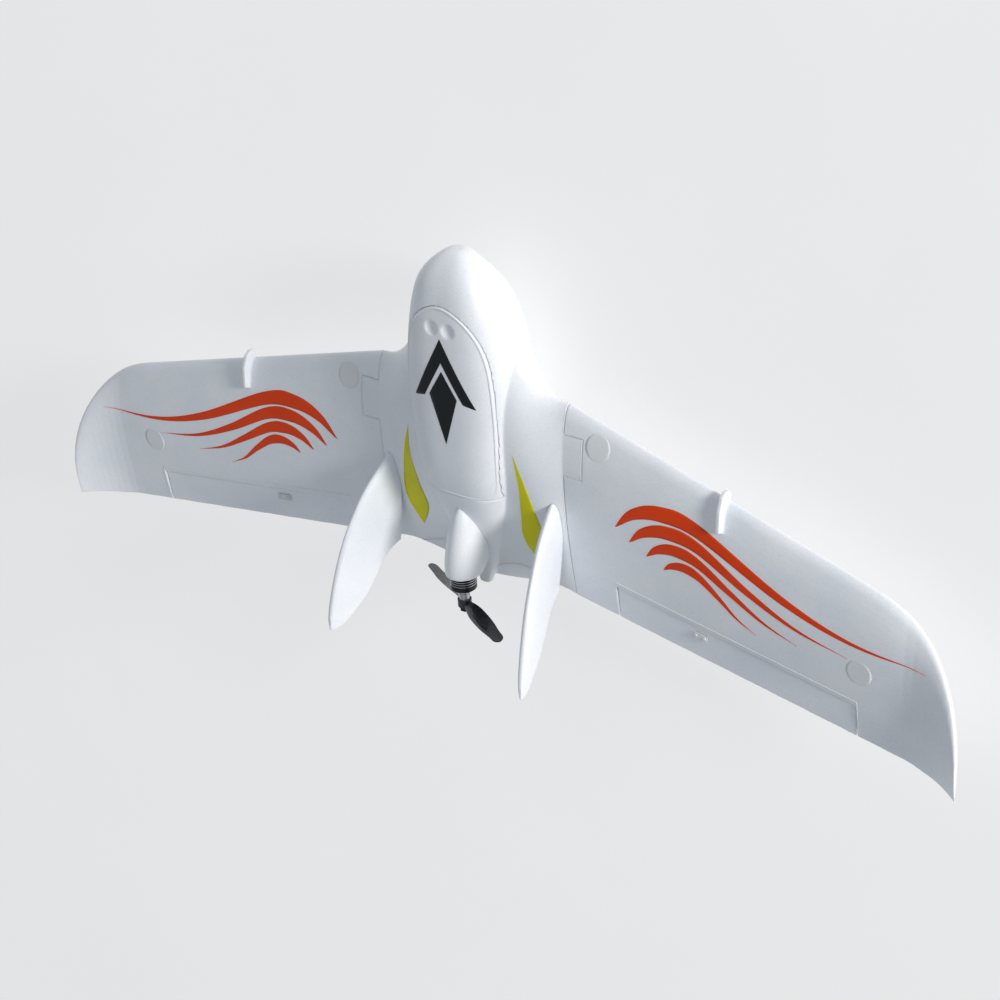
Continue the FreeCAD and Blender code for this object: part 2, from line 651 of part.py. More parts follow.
# ---------------------------------------------------------------- spars and sleeves
def make_spars():
    """The carbon joiner tube, the two locating pins and the sleeves in the wing roots."""
    along = Rotation(Vector(0, 0, 1), Vector(1, 0, 0))
    start = Vector(-size("spar_length") / 2, size("spar_y"), size("spar_z"))
    tube = cylinder("spar_outside", "sizes.spar_radius", "sizes.spar_length", Placement(start, along))
    bore = cylinder("spar_inside", "sizes.spar_bore", "sizes.spar_length", Placement(start, along))
    keep(cut("main_spar", tube, bore), "main_spar")
    pins = []
    for side, name in ((1, "left"), (-1, "right")):
        x = size("pin_start") if side > 0 else -size("pin_start") - size("pin_length")
        pins.append(cylinder(f"pin_{name}", "sizes.pin_radius", "sizes.pin_length",
                             Placement(Vector(x, size("pin_y"), size("pin_z")), along)))
        seam = size("seam_x") + size("seam_gap")
        x = seam if side > 0 else -seam - size("sleeve_length")
        spot = Placement(Vector(x, size("spar_y"), size("spar_z")), along)
        outside = cylinder(f"sleeve_{name}_outside", "sizes.sleeve_radius", "sizes.sleeve_length", spot)
        inside = cylinder(f"sleeve_{name}_inside", "sizes.sleeve_bore", "sizes.sleeve_length", spot)
        keep(cut(f"spar_sleeve_{name}", outside, inside), f"spar_sleeve_{name}")
    keep(fuse("locating_pins", pins), "locating_pins")


# ---------------------------------------------------------------- motor and propeller
def make_motor():
    """The outrunner motor, from the mount plate aft, and everything on its shaft."""
    axis = Placement(Vector(0, 0, size("motor_height")), Rotation())
    plate_y = "sizes.recess_y"
    plate = new_body("motor_mount_disc")
    plate.Placement = axis
    face = new_sketch(plate, "XZ_Plane", "motor_mount_outline")
    draw_circle(face, "0", "0", "sizes.plate_radius")
    draw_circle(face, "0", "0", "sizes.tube_bore")
    reach = "sizes.plate_screw_circle * sqrt(0.5)"
    for across, up in ((1, 1), (1, -1), (-1, 1), (-1, -1)):
        draw_circle(face, f"{across} * {reach}", f"{up} * {reach}", "sizes.screw_radius")
    face.AttachmentOffset = Placement(Vector(0, 0, -size("recess_y")), Rotation())
    pad(plate, face, "sizes.plate_thick", "motor_mount_plate", reverse=True)
    sinks = [screw_head(f"countersink_{angle}", angle) for angle in SCREW_ANGLES]
    keep(cut("motor_mount", plate, fuse("countersinks", sinks)), "motor_mount")

    base_y = f"({plate_y} + sizes.plate_thick)"
    tube_end = f"({base_y} + sizes.tube_length)"
    keep(turned_body("motor_base", [
        ("sizes.tube_bore", base_y), ("sizes.base_radius", base_y),
        ("sizes.base_radius", f"{base_y} + sizes.base_thick"),
        ("sizes.tube_radius", f"{base_y} + sizes.base_thick"),
        ("sizes.tube_radius", tube_end), ("sizes.tube_bore", tube_end)], axis), "motor_base")

    bearings = []
    for i, start in enumerate((f"{base_y} + 0.5", f"{tube_end} - sizes.bearing_width")):
        body = turned_body(f"motor_bearing_{i}", ring_profile(
            "sizes.shaft_radius + sizes.bearing_play", "sizes.tube_bore", start,
            "sizes.bearing_width"), axis)
        bearings.append(body)
    doc.recompute()
    keep(fuse("motor_bearings", bearings), "motor_bearings")

    cap_y = "(sizes.bell_start + sizes.bell_length - sizes.cap_thick)"
    inner = "(sizes.bell_radius - sizes.bell_wall)"
    bell = turned_body("motor_bell", [
        (inner, "sizes.bell_start"), ("sizes.bell_radius", "sizes.bell_start"),
        ("sizes.bell_radius", f"{cap_y} + sizes.cap_thick - 1"),
        ("sizes.bell_radius - 1", f"{cap_y} + sizes.cap_thick"),
        ("sizes.shaft_radius", f"{cap_y} + sizes.cap_thick"),
        ("sizes.shaft_radius", cap_y), (inner, cap_y)], axis)
    vents = new_sketch(bell, "XZ_Plane", "bell_vents")
    draw_circle(vents, "sizes.bell_radius * 0.55", "0", "sizes.bell_radius * 0.15")
    doc.recompute()
    window = bell.newObject("PartDesign::Pocket", "bell_vent")
    window.Profile = vents
    window.Type = 1
    window.Midplane = True
    doc.recompute()
    ring = bell.newObject("PartDesign::PolarPattern", "bell_vent_ring")
    ring.Originals = [window]
    ring.Axis = (vents, ["N_Axis"])
    ring.Angle = 360
    ring.Occurrences = 6
    bell.Tip = ring
    keep(bell, "motor_bell")

    keep(turned_body("motor_shaft", [
        ("0", f"{base_y} + 0.5"), ("sizes.shaft_radius", f"{base_y} + 0.5"),
        ("sizes.shaft_radius", f"{cap_y} + sizes.cap_thick + sizes.adapter_length"),
        ("0", f"{cap_y} + sizes.cap_thick + sizes.adapter_length")], axis), "motor_shaft")

    adapter_y = f"({cap_y} + sizes.cap_thick)"
    hub_y = f"({adapter_y} + sizes.adapter_length)"
    stem_end = f"({hub_y} + sizes.stem_length)"
    keep(turned_body("prop_adapter", [
        ("sizes.shaft_radius", adapter_y), ("sizes.adapter_radius - 1.2", adapter_y),
        ("sizes.adapter_radius", f"{hub_y} - 2"), ("sizes.adapter_radius", hub_y),
        ("sizes.stem_radius", hub_y), ("sizes.stem_radius", f"{stem_end} - 0.6"),
        ("sizes.stem_radius - 0.6", stem_end), ("0", stem_end), ("0", hub_y),
        ("sizes.shaft_radius", hub_y)], axis), "prop_adapter")
    washer_y = f"({hub_y} + sizes.hub_length)"
    keep(turned_body("prop_washer", ring_profile(
        "sizes.stem_radius + sizes.stem_play", "sizes.washer_radius", washer_y,
        "sizes.washer_thick"), axis), "prop_washer")
    nut_start = f"({washer_y} + sizes.washer_thick)"
    nut = new_body("prop_nut")
    nut.Placement = axis
    face = new_sketch(nut, "XZ_Plane", "prop_nut_outline")
    corner = "sizes.nut_flats / sqrt(3)"
    draw_outline(face, [(f"{corner} * cos({60 * i}deg)", f"{corner} * sin({60 * i}deg)")
                        for i in range(6)])
    draw_circle(face, "0", "0", "sizes.stem_radius + sizes.stem_play")
    face.AttachmentOffset = Placement(Vector(0, 0, -worked_out(nut_start)), Rotation())
    pad(nut, face, "sizes.nut_length", "prop_nut_hex", reverse=True)
    keep(nut, "prop_nut")
    make_stator()
    make_magnets()
    make_mount_screws()
    make_propeller(worked_out(hub_y))


def make_stator():
    """The laminated core with twelve teeth, and a copper winding round each tooth."""
    start, length = size("stator_start"), size("stator_length")
    inner, outer, wide = size("tube_radius"), size("stator_radius"), size("tooth_wide")
    middle = Vector(0, start, size("motor_height"))
    along = Vector(0, 1, 0)
    core = Part.makeCylinder(inner + 1.8, length, middle, along)
    coils = []
    slots = 12
    for i in range(slots):
        tooth = block((inner + 1, 0, -wide / 2), (outer - 0.8, length, wide / 2))
        shoe_half = math.pi * outer / slots - 0.5
        shoe = block((outer - 1.2, 0, -shoe_half), (outer + 2, length, shoe_half))
        coil = block((inner + 2.0, -0.9, -wide / 2 - 0.8), (outer - 1.4, length + 0.9, wide / 2 + 0.8))
        coil = coil.cut(block((0, 0, -wide / 2), (outer, length, wide / 2)))
        for solid in (tooth, shoe, coil):
            solid.rotate(Vector(0, 0, 0), Vector(0, 1, 0), 360 / slots * i)
            solid.translate(middle)
        core = core.fuse(tooth).fuse(shoe)
        coils.append(coil)
    core = core.common(Part.makeCylinder(outer, length, middle, along))
    core = core.cut(Part.makeCylinder(inner, length, middle, along))
    shape_part("motor_stator", core.removeSplitter())
    shape_part("stator_windings", Part.makeCompound(coils))


def make_magnets():
    """Fourteen magnets inside the bell."""
    outer = size("bell_radius") - size("bell_wall")
    inner = outer - size("magnet_depth")
    middle = Vector(0, size("stator_start"), size("motor_height"))
    ring = Part.makeCylinder(outer, size("stator_length"), middle, Vector(0, 1, 0))
    ring = ring.cut(Part.makeCylinder(inner, size("stator_length"), middle, Vector(0, 1, 0)))
    magnets = []
    for i in range(14):
        bar = block((inner - 2, 0, -2.5), (outer + 2, size("stator_length"), 2.5))
        bar.rotate(Vector(0, 0, 0), Vector(0, 1, 0), 360 / 14 * i)
        bar.translate(middle)
        magnets.append(ring.common(bar))
    shape_part("rotor_magnets", Part.makeCompound(magnets))


def screw_head(name, angle):
    """A countersunk head, flush with the mount plate's rear face."""
    face = size("recess_y") + size("plate_thick")
    head = doc.addObject("Part::Cone", name)
    head.setExpression("Radius1", "sizes.screw_radius")
    head.setExpression("Radius2", "sizes.head_radius")
    head.setExpression("Height", "sizes.head_tall")
    head.Placement = Placement(screw_spot(angle, face - size("head_tall")),
                               Rotation(Vector(0, 0, 1), Vector(0, 1, 0)))
    return head


def make_mount_screws():
    """Four screws that hold the mount plate to the fairing."""
    screws = []
    aft = Rotation(Vector(0, 0, 1), Vector(0, 1, 0))
    for angle in SCREW_ANGLES:
        start = screw_spot(angle, size("recess_y") - size("screw_depth"))
        shank = cylinder(f"mount_screw_shank_{angle}", "sizes.screw_radius",
                         "sizes.screw_depth + sizes.plate_thick - sizes.head_tall",
                         Placement(start, aft))
        head = screw_head(f"mount_screw_head_{angle}", angle)
        screws.append(fuse(f"mount_screw_{angle}", [shank, head]))
    keep(fuse("motor_mount_screws", screws), "motor_mount_screws")


def make_propeller(hub_y):
    """A two-bladed pusher propeller: (radius, chord, thickness, pitch angle) of its sections."""
    sections = [(4.0, 9.5, 5.5, 48.0), (12.0, 12.0, 3.6, 42.0), (24.0, 16.5, 2.6, 34.0),
                (42.0, 18.0, 2.1, 25.0), (62.0, 16.5, 1.7, 18.5), (80.0, 13.0, 1.3, 15.0),
                (90.0, 8.5, 1.0, 13.5), (size("prop_radius"), 3.4, 0.8, 13.0)]
    wires = []
    for reach, chord, thick, pitch in sections:
        upper, lower = [], []
        for part in airfoil_points(6):
            half = thick * half_thickness(part) + 0.15
            upper.append(Vector(reach, half, chord * (part - 0.5)))
            lower.append(Vector(reach, -half, chord * (part - 0.5)))
        curve = Part.BSplineCurve()
        curve.interpolate(upper[::-1] + lower[1:])
        wire = Part.Wire([curve.toShape(), Part.LineSegment(lower[-1], upper[-1]).toShape()])
        wire.rotate(Vector(0, 0, 0), Vector(1, 0, 0), pitch)
        wires.append(wire)
    blade = Part.makeLoft(wires, True, False)
    other = blade.copy()
    other.rotate(Vector(0, 0, 0), Vector(0, 1, 0), 180)
    half = size("hub_length") / 2
    hub = rod(size("hub_radius"), Vector(0, -half, 0), Vector(0, 2 * half, 0))
    bore = rod(size("stem_radius") + size("stem_play"), Vector(0, -half - 1, 0), Vector(0, 2 * half + 2, 0))
    propeller = hub.fuse([blade, other]).cut(bore)
    place = Placement(Vector(0, hub_y + half, size("motor_height")),
                      Rotation(Vector(0, 1, 0), size("prop_rest_angle")))
    shape_part("propeller", largest(propeller), place)


# ---------------------------------------------------------------- servos and linkage
def make_linkage(side, name):
    """One servo with its arm, pushrod, horn, backplate and screws."""
    place = servo_place(side)

    def local_box(label, near, far, low_y, high_y, low_z, high_z):
        low, high = sorted((side * near, side * far))
        item = doc.addObject("Part::Box", label)
        item.Length, item.Width, item.Height = high - low, high_y - low_y, high_z - low_z
        item.Placement = place.multiply(Placement(Vector(low, low_y, low_z), Rotation()))
        return item

    def along_shaft(label, radius, near, far):
        outboard = Rotation(Vector(0, 0, 1), Vector(side, 0, 0))
        start = place.multiply(Placement(Vector(side * worked_out(near), 0, 0), outboard))
        return cylinder(label, radius, f"({far}) - ({near})", start)

    front = size("servo_shaft_in") - size("servo_long")
    rear = size("servo_shaft_in")
    half = size("servo_thick") / 2
    spare = (size("ear_long") - size("servo_long")) / 2
    near, far, ear = servo_stations()
    case = local_box(f"case_{name}", near, far, front, rear, -half, half)
    ears = local_box(f"ears_{name}", ear, ear + size("ear_thick"), front - spare, rear + spare,
                     -half, half)
    turret = along_shaft(f"turret_{name}", "sizes.tower_radius", "sizes.tower_gap",
                         "sizes.tower_gap + sizes.tower_tall + 0.5")
    spline = along_shaft(f"spline_{name}", "sizes.spline_radius", "sizes.arm_thick/2",
                         "sizes.tower_gap + 0.5")
    keep(fuse(f"servo_{name}", [case, ears, turret, spline]), f"servo_{name}")

    make_arm(name, place)
    make_pushrod(side, name)
    make_horn(side, name)


def make_arm(name, place):
    """The servo arm hangs below its shaft; its hole takes the pushrod."""
    arm = new_body(f"servo_arm_{name}")
    arm.Placement = place
    hub = new_sketch(arm, "YZ_Plane", f"arm_hub_{name}")
    draw_circle(hub, "0", "0", "sizes.arm_hub")
    pad(arm, hub, "sizes.arm_thick", f"arm_hub_pad_{name}", midplane=True)
    blade = new_sketch(arm, "YZ_Plane", f"arm_blade_{name}")
    half = "sizes.arm_width/2"
    end = "-sizes.link_radius - sizes.arm_end"
    draw_outline(blade, [(half, "0"), (f"-{half}", "0"), (f"-{half} + sizes.arm_taper", end),
                         (f"{half} - sizes.arm_taper", end)])
    pad(arm, blade, "sizes.arm_thick", f"arm_blade_pad_{name}", midplane=True)
    doc.recompute()
    holes = new_sketch(arm, "YZ_Plane", f"arm_holes_{name}")
    draw_circle(holes, "0", "-sizes.link_radius", "sizes.wire_hole")
    draw_circle(holes, "0", "0", "1")
    bore = arm.newObject("PartDesign::Pocket", f"arm_bores_{name}")
    bore.Profile = holes
    bore.Type = 1
    bore.Midplane = True
    keep(arm, f"servo_arm_{name}")


def make_pushrod(side, name):
    """A wire with a bent leg at each end, one in the arm and one in the horn."""
    low = Vector(0, 0, -size("link_radius"))
    front = servo_place(side).multVec(low)
    rear = horn_place(side).multVec(low)
    leg = hinge_direction(side)
    leg.normalize()
    leg = leg * size("wire_leg")
    offset = leg * 0.55
    radius = size("wire_radius")
    run = Part.makeCylinder(radius, (rear - front).Length, front + offset, rear - front)
    legs = [Part.makeCylinder(radius, leg.Length, spot - leg * 0.45, leg) for spot in (front, rear)]
    knees = [Part.makeSphere(radius, spot + offset) for spot in (front, rear)]
    wire = run.fuse(legs + knees)
    shape_part(f"pushrod_{name}", wire.removeSplitter())


def make_horn(side, name):
    """The control horn under the elevon, its backplate on top and the two screws between."""
    place = horn_place(side)
    blade = new_body(f"control_horn_{name}")
    blade.Placement = place
    sketch = new_sketch(blade, "YZ_Plane", f"horn_side_{name}")
    bottom = "(-sizes.elevon_nose - 0.15)"
    rear = "(sizes.horn_setback + sizes.horn_base_wide/2)"
    draw_outline(sketch, [
        ("sizes.horn_setback - sizes.horn_base_wide/2", bottom), (rear, bottom),
        (rear, f"{bottom} - sizes.horn_base_thick"), ("2.6", "-sizes.link_radius - 2.4"),
        ("-2.4", "-sizes.link_radius - 2.0"), ("-2.4", "-sizes.link_radius + 2.0"),
        ("sizes.horn_setback - sizes.horn_base_wide/2", f"{bottom} - sizes.horn_base_thick")])
    pad(blade, sketch, "sizes.horn_thick", f"horn_blade_{name}", midplane=True)
    doc.recompute()
    hole = new_sketch(blade, "YZ_Plane", f"horn_hole_{name}")
    draw_circle(hole, "0", "-sizes.link_radius", "sizes.wire_hole")
    bore = blade.newObject("PartDesign::Pocket", f"horn_bore_{name}")
    bore.Profile = hole
    bore.Type = 1
    bore.Midplane = True
    doc.recompute()
    foot = new_sketch(blade, "XY_Plane", f"horn_foot_{name}")
    foot.AttachmentOffset = Placement(Vector(0, size("horn_setback"), worked_out(bottom)), Rotation())
    draw_outline(foot, box_outline("sizes.horn_base_long", "sizes.horn_base_wide"))
    for shift in ("-", ""):
        draw_circle(foot, f"{shift}sizes.horn_screw_pitch/2", "0", "sizes.horn_screw_radius")
    pad(blade, foot, "sizes.horn_base_thick", f"horn_foot_pad_{name}", reverse=True)
    keep(blade, f"control_horn_{name}")

    plate = new_body(f"horn_backplate_{name}")
    plate.Placement = place
    outline = new_sketch(plate, "XY_Plane", f"backplate_outline_{name}")
    top = size("elevon_nose") - 0.2
    outline.AttachmentOffset = Placement(Vector(0, size("horn_setback"), top), Rotation())
    draw_outline(outline, box_outline("sizes.horn_base_long", "sizes.horn_base_wide - 2"))
    for shift in ("-", ""):
        draw_circle(outline, f"{shift}sizes.horn_screw_pitch/2", "0", "sizes.horn_screw_radius")
    pad(plate, outline, "sizes.horn_base_thick - 0.2", f"backplate_pad_{name}")
    keep(plate, f"horn_backplate_{name}")

    screws = []
    for i, shift in enumerate((-0.5, 0.5)):
        shank_low = -size("elevon_nose") - 3.0
        shank = cylinder(f"horn_shank_{name}_{i}", "sizes.horn_screw_radius",
                         "2 * sizes.elevon_nose + 4", horn_screw_place(side, shift, shank_low))
        head = cylinder(f"horn_head_{name}_{i}", "sizes.horn_head_radius", "sizes.horn_head_tall",
                        horn_screw_place(side, shift, size("elevon_nose") + 1.0))
        screws.append(fuse(f"horn_screw_{name}_{i}", [shank, head]))
    keep(fuse(f"horn_screws_{name}", screws), f"horn_screws_{name}")


# ---------------------------------------------------------------- equipment in the bay
def rounded_box(label, wide, long, tall, spot):
    """A padded body with rounded upright edges, sitting on a point."""
    body = new_body(label)
    body.Placement = Placement(spot, Rotation())
    sketch = new_sketch(body, "XY_Plane", f"{label}_outline")
    draw_outline(sketch, box_outline(wide, long))
    block_pad = pad(body, sketch, tall, f"{label}_block")
    doc.recompute()
    upright = [f"Edge{i + 1}" for i, edge in enumerate(block_pad.Shape.Edges)
               if abs(edge.tangentAt(edge.FirstParameter).z) > 0.99]
    fillet = body.newObject("PartDesign::Fillet", f"{label}_corners")
    fillet.Base = (block_pad, upright)
    fillet.setExpression("Radius", "sizes.case_corner")
    return keep(body, label)


def draw_arch(sketch, foot, grow):
    """A rectangle round the battery's sides and top, larger than it by an expression."""
    wide = f"sizes.battery_wide/2 + {grow}"
    top = f"sizes.battery_tall + {grow}"
    draw_outline(sketch, [(f"-({wide})", foot), (wide, foot), (wide, top), (f"-({wide})", top)])


def make_equipment():
    """Battery with its strap and grip pad, speed controller and receiver."""
    floor = size("bay_floor")
    rounded_box("battery_pad", "sizes.battery_wide - 6", "sizes.battery_long - 10", "sizes.pad_thick",
                Vector(0, size("battery_y"), floor))
    rounded_box("battery", "sizes.battery_wide", "sizes.battery_long", "sizes.battery_tall",
                Vector(0, size("battery_y"), floor + size("pad_thick")))
    strap = new_body("battery_strap")
    strap.Placement = Placement(Vector(0, size("battery_y"), floor + size("pad_thick")), Rotation())
    outline = new_sketch(strap, "XZ_Plane", "strap_section")
    grow = "sizes.strap_play + sizes.strap_thick"
    draw_arch(outline, "0", grow)
    pad(strap, outline, "sizes.strap_wide", "strap_band", midplane=True)
    doc.recompute()
    inside = new_sketch(strap, "XZ_Plane", "strap_inside")
    draw_arch(inside, "-1", "sizes.strap_play")
    hollow = strap.newObject("PartDesign::Pocket", "strap_hollow")
    hollow.Profile = inside
    hollow.Type = 1
    hollow.Midplane = True
    keep(strap, "battery_strap")
    rear_floor = floor + size("gear_lift")
    rounded_box("speed_controller", "sizes.esc_wide", "sizes.esc_long", "sizes.esc_tall",
                Vector(size("esc_x"), size("gear_y"), rear_floor))
    rounded_box("receiver", "sizes.receiver_wide", "sizes.receiver_long", "sizes.receiver_tall",
                Vector(size("receiver_x"), size("gear_y"), rear_floor))


def make_hatch_magnets():
    """Four pairs of disc magnets hold the hatch down."""
    ledge, thick = size("ledge_height"), size("magnet_thick")
    for label, base in (("body_magnets", ledge - thick), ("hatch_magnets", ledge + 0.2)):
        discs = [cylinder(f"{label}_{i}", "sizes.magnet_radius", "sizes.magnet_thick - 0.2",
                          Placement(Vector(x, y, base), Rotation()))
                 for i, (x, y) in enumerate(magnet_spots())]
        keep(fuse(label, discs), label)


# ---------------------------------------------------------------- assembly
make_centre_body()
make_spars()
make_hatch_magnets()
make_motor()
make_equipment()
for side, name in ((1, "left"), (-1, "right")):
    make_wing(side, name)
    make_elevon(side, name)
    make_linkage(side, name)
doc.recompute()

for item in doc.Objects:
    if any(word in item.State for word in ("Invalid", "Error")):
        raise RuntimeError(f"{item.Label} did not recompute: {item.State}")
for item in SUBPARTS:
    if item.Shape.isNull() or not item.Shape.isValid():
        raise RuntimeError(f"{item.Label} has no valid shape")

os.makedirs("parts", exist_ok=True)
for item in SUBPARTS:
    item.Shape.exportStep(f"parts/{item.Label}.step")
    print(f"{item.Label}: {len(item.Shape.Solids)} solid(s), {item.Shape.Volume / 1000:.2f} cm3")
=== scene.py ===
"""The look of the foam flying wing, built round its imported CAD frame."""
import json
import math

import bmesh
import bpy
from mathutils import Matrix, Vector
from mathutils.bvhtree import BVHTree


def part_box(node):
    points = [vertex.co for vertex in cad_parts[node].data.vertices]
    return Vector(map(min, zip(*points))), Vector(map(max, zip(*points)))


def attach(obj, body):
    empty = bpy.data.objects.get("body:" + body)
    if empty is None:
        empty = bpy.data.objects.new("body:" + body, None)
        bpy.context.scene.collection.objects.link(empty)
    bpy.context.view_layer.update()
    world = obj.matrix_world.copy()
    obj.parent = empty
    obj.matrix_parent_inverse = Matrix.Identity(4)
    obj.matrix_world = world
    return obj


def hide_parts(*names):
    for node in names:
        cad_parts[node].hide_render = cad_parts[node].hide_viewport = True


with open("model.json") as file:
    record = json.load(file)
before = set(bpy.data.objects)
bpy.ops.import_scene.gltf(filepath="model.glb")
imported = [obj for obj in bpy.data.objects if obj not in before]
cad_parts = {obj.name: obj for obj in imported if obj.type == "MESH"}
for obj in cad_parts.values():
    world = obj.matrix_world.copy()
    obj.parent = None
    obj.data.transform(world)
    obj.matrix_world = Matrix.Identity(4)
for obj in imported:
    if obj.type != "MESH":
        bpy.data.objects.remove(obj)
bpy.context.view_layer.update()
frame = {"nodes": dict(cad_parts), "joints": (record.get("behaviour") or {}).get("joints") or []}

MM = 0.001
NODES = frame["nodes"]
SIDES = (("left", 1), ("right", -1))


# ---------------------------------------------------------------- material helpers
def node_material(name):
    """An empty node material with its shader, output and object coordinates."""
    material = bpy.data.materials.new(name)
    material.use_nodes = True
    tree = material.node_tree
    tree.nodes.clear()
    output = tree.nodes.new("ShaderNodeOutputMaterial")
    shader = tree.nodes.new("ShaderNodeBsdfPrincipled")
    place = tree.nodes.new("ShaderNodeTexCoord")
    tree.links.new(shader.outputs["BSDF"], output.inputs["Surface"])
    return material, tree, shader, place.outputs["Object"]


def noise(tree, place, scale, detail=4.0, roughness=0.55):
    """A soft noise over the object, as a value socket."""
    item = tree.nodes.new("ShaderNodeTexNoise")
    item.inputs["Scale"].default_value = scale
    item.inputs["Detail"].default_value = detail
    item.inputs["Roughness"].default_value = roughness
    tree.links.new(place, item.inputs["Vector"])
    return item.outputs["Fac"]


def cells(tree, place, scale, feature="F1"):
    """Packed cells, like the fused beads of foam, as a value socket."""
    item = tree.nodes.new("ShaderNodeTexVoronoi")
    item.feature = feature
    item.inputs["Scale"].default_value = scale
    tree.links.new(place, item.inputs["Vector"])
    return item.outputs["Distance"]


def ramp(tree, value, stops):
    """A colour ramp: (position, colour) pairs."""
    item = tree.nodes.new("ShaderNodeValToRGB")
    elements = item.color_ramp.elements
    while len(elements) < len(stops):
        elements.new(0.5)
    for element, (position, colour) in zip(elements, stops):
        element.position = position
        element.color = (*colour, 1)
    tree.links.new(value, item.inputs["Fac"])
    return item.outputs["Color"]


def mix(tree, factor, first, second, mode="MIX"):
    """A colour mix; the factor and both colours are sockets or plain values."""
    item = tree.nodes.new("ShaderNodeMix")
    item.data_type = "RGBA"
    item.blend_type = mode
    for socket, value in ((item.inputs[0], factor), (item.inputs[6], first), (item.inputs[7], second)):
        if isinstance(value, bpy.types.NodeSocket):
            tree.links.new(value, socket)
        elif isinstance(value, tuple):
            socket.default_value = (*value, 1)
        else:
            socket.default_value = value
    return item.outputs[2]


def spread(tree, value, low, high, new_low, new_high):
    """A value moved from one range to another."""
    item = tree.nodes.new("ShaderNodeMapRange")
    for name, number in (("From Min", low), ("From Max", high),
                         ("To Min", new_low), ("To Max", new_high)):
        item.inputs[name].default_value = number
    tree.links.new(value, item.inputs["Value"])
    return item.outputs["Result"]


def bump(tree, shader, heights):
    """Chained bumps: (height socket, strength, distance in metres)."""
    normal = None
    for height, strength, distance in heights:
        item = tree.nodes.new("ShaderNodeBump")
        item.inputs["Strength"].default_value = strength
        item.inputs["Distance"].default_value = distance
        tree.links.new(height, item.inputs["Height"])
        if normal:
            tree.links.new(normal, item.inputs["Normal"])
        normal = item.outputs["Normal"]
    tree.links.new(normal, shader.inputs["Normal"])


# ---------------------------------------------------------------- materials
BEAD_SCALE = 330.0  # the fused beads of the foam, about 3 mm across


def foam_material():
    """Moulded expanded foam: bright, faintly blue, with fused beads and small pits."""
    material, tree, shader, place = node_material("foam")
    bead = cells(tree, place, BEAD_SCALE)
    seam = cells(tree, place, BEAD_SCALE, "DISTANCE_TO_EDGE")
    cloud = noise(tree, place, 14.0, 5.0)
    fine = noise(tree, place, 900.0, 3.0)
    tint = ramp(tree, cloud, [(0.3, (0.80, 0.825, 0.87)), (0.7, (0.875, 0.89, 0.92))])
    edges = ramp(tree, seam, [(0.0, (0.86, 0.875, 0.90)), (0.09, (1.0, 1.0, 1.0))])
    tree.links.new(mix(tree, 0.55, tint, edges, "MULTIPLY"), shader.inputs["Base Color"])
    tree.links.new(spread(tree, fine, 0.3, 0.7, 0.42, 0.56), shader.inputs["Roughness"])
    shader.inputs["Subsurface Weight"].default_value = 0.18
    shader.inputs["Subsurface Radius"].default_value = (0.004, 0.004, 0.005)
    shader.inputs["Subsurface Scale"].default_value = 1.0
    shader.inputs["Specular IOR Level"].default_value = 0.42
    shader.inputs["Coat Weight"].default_value = 0.12
    shader.inputs["Coat Roughness"].default_value = 0.35
    bump(tree, shader, [(cloud, 0.25, 0.0012), (seam, 0.22, 0.00035),
                        (bead, 0.10, 0.0003), (fine, 0.10, 0.0001)])
    return material


def vinyl_material(name, colour, gloss=0.26):
    """Cut vinyl film: an even colour with a faint orange-peel and the foam showing through."""
    material, tree, shader, place = node_material(name)
    cloud = noise(tree, place, 22.0, 3.0)
    bead = cells(tree, place, BEAD_SCALE)
    dark = tuple(0.88 * c for c in colour)
    tree.links.new(ramp(tree, cloud, [(0.3, dark), (0.7, colour)]), shader.inputs["Base Color"])
    tree.links.new(spread(tree, cloud, 0.3, 0.7, gloss, gloss + 0.12), shader.inputs["Roughness"])
    shader.inputs["Specular IOR Level"].default_value = 0.16
    shader.inputs["Coat Weight"].default_value = 0.04
    shader.inputs["Coat Roughness"].default_value = 0.2
    bump(tree, shader, [(bead, 0.08, 0.0002), (cloud, 0.15, 0.0006)])
    return material


def plastic_material(name, colour, rough=0.4, grain=1400.0, depth=0.12, coat=0.0):
    """Moulded plastic with a fine grain and uneven sheen."""
    material, tree, shader, place = node_material(name)
    cloud = noise(tree, place, 60.0, 4.0)
    fine = noise(tree, place, grain, 2.0)
    low = tuple(0.8 * c for c in colour)
    tree.links.new(ramp(tree, cloud, [(0.3, low), (0.75, colour)]), shader.inputs["Base Color"])
    sheen = spread(tree, cloud, 0.3, 0.7, rough - 0.06, rough + 0.08)
    tree.links.new(sheen, shader.inputs["Roughness"])
    shader.inputs["Coat Weight"].default_value = coat
    bump(tree, shader, [(fine, depth, 0.00015)])
    return material


def metal_material(name, colour, rough=0.3, lathe=False, axis=1):
    """Turned or brushed metal; lathe marks run round the given axis."""
    material, tree, shader, place = node_material(name)
    shader.inputs["Metallic"].default_value = 1.0
    stretch = tree.nodes.new("ShaderNodeMapping")
    scale = [40.0, 40.0, 40.0]
    scale[axis] = 2600.0 if lathe else 300.0
    stretch.inputs["Scale"].default_value = scale
    tree.links.new(place, stretch.inputs["Vector"])
    grain = noise(tree, stretch.outputs["Vector"], 1.0, 3.0)
    stain = noise(tree, place, 90.0, 4.0)
    low = tuple(0.75 * c for c in colour)
    tree.links.new(ramp(tree, stain, [(0.3, low), (0.7, colour)]), shader.inputs["Base Color"])
    sheen = spread(tree, grain, 0.3, 0.7, rough - 0.08, rough + 0.12)
    tree.links.new(sheen, shader.inputs["Roughness"])
    bump(tree, shader, [(grain, 0.15, 0.00008)])
    return material


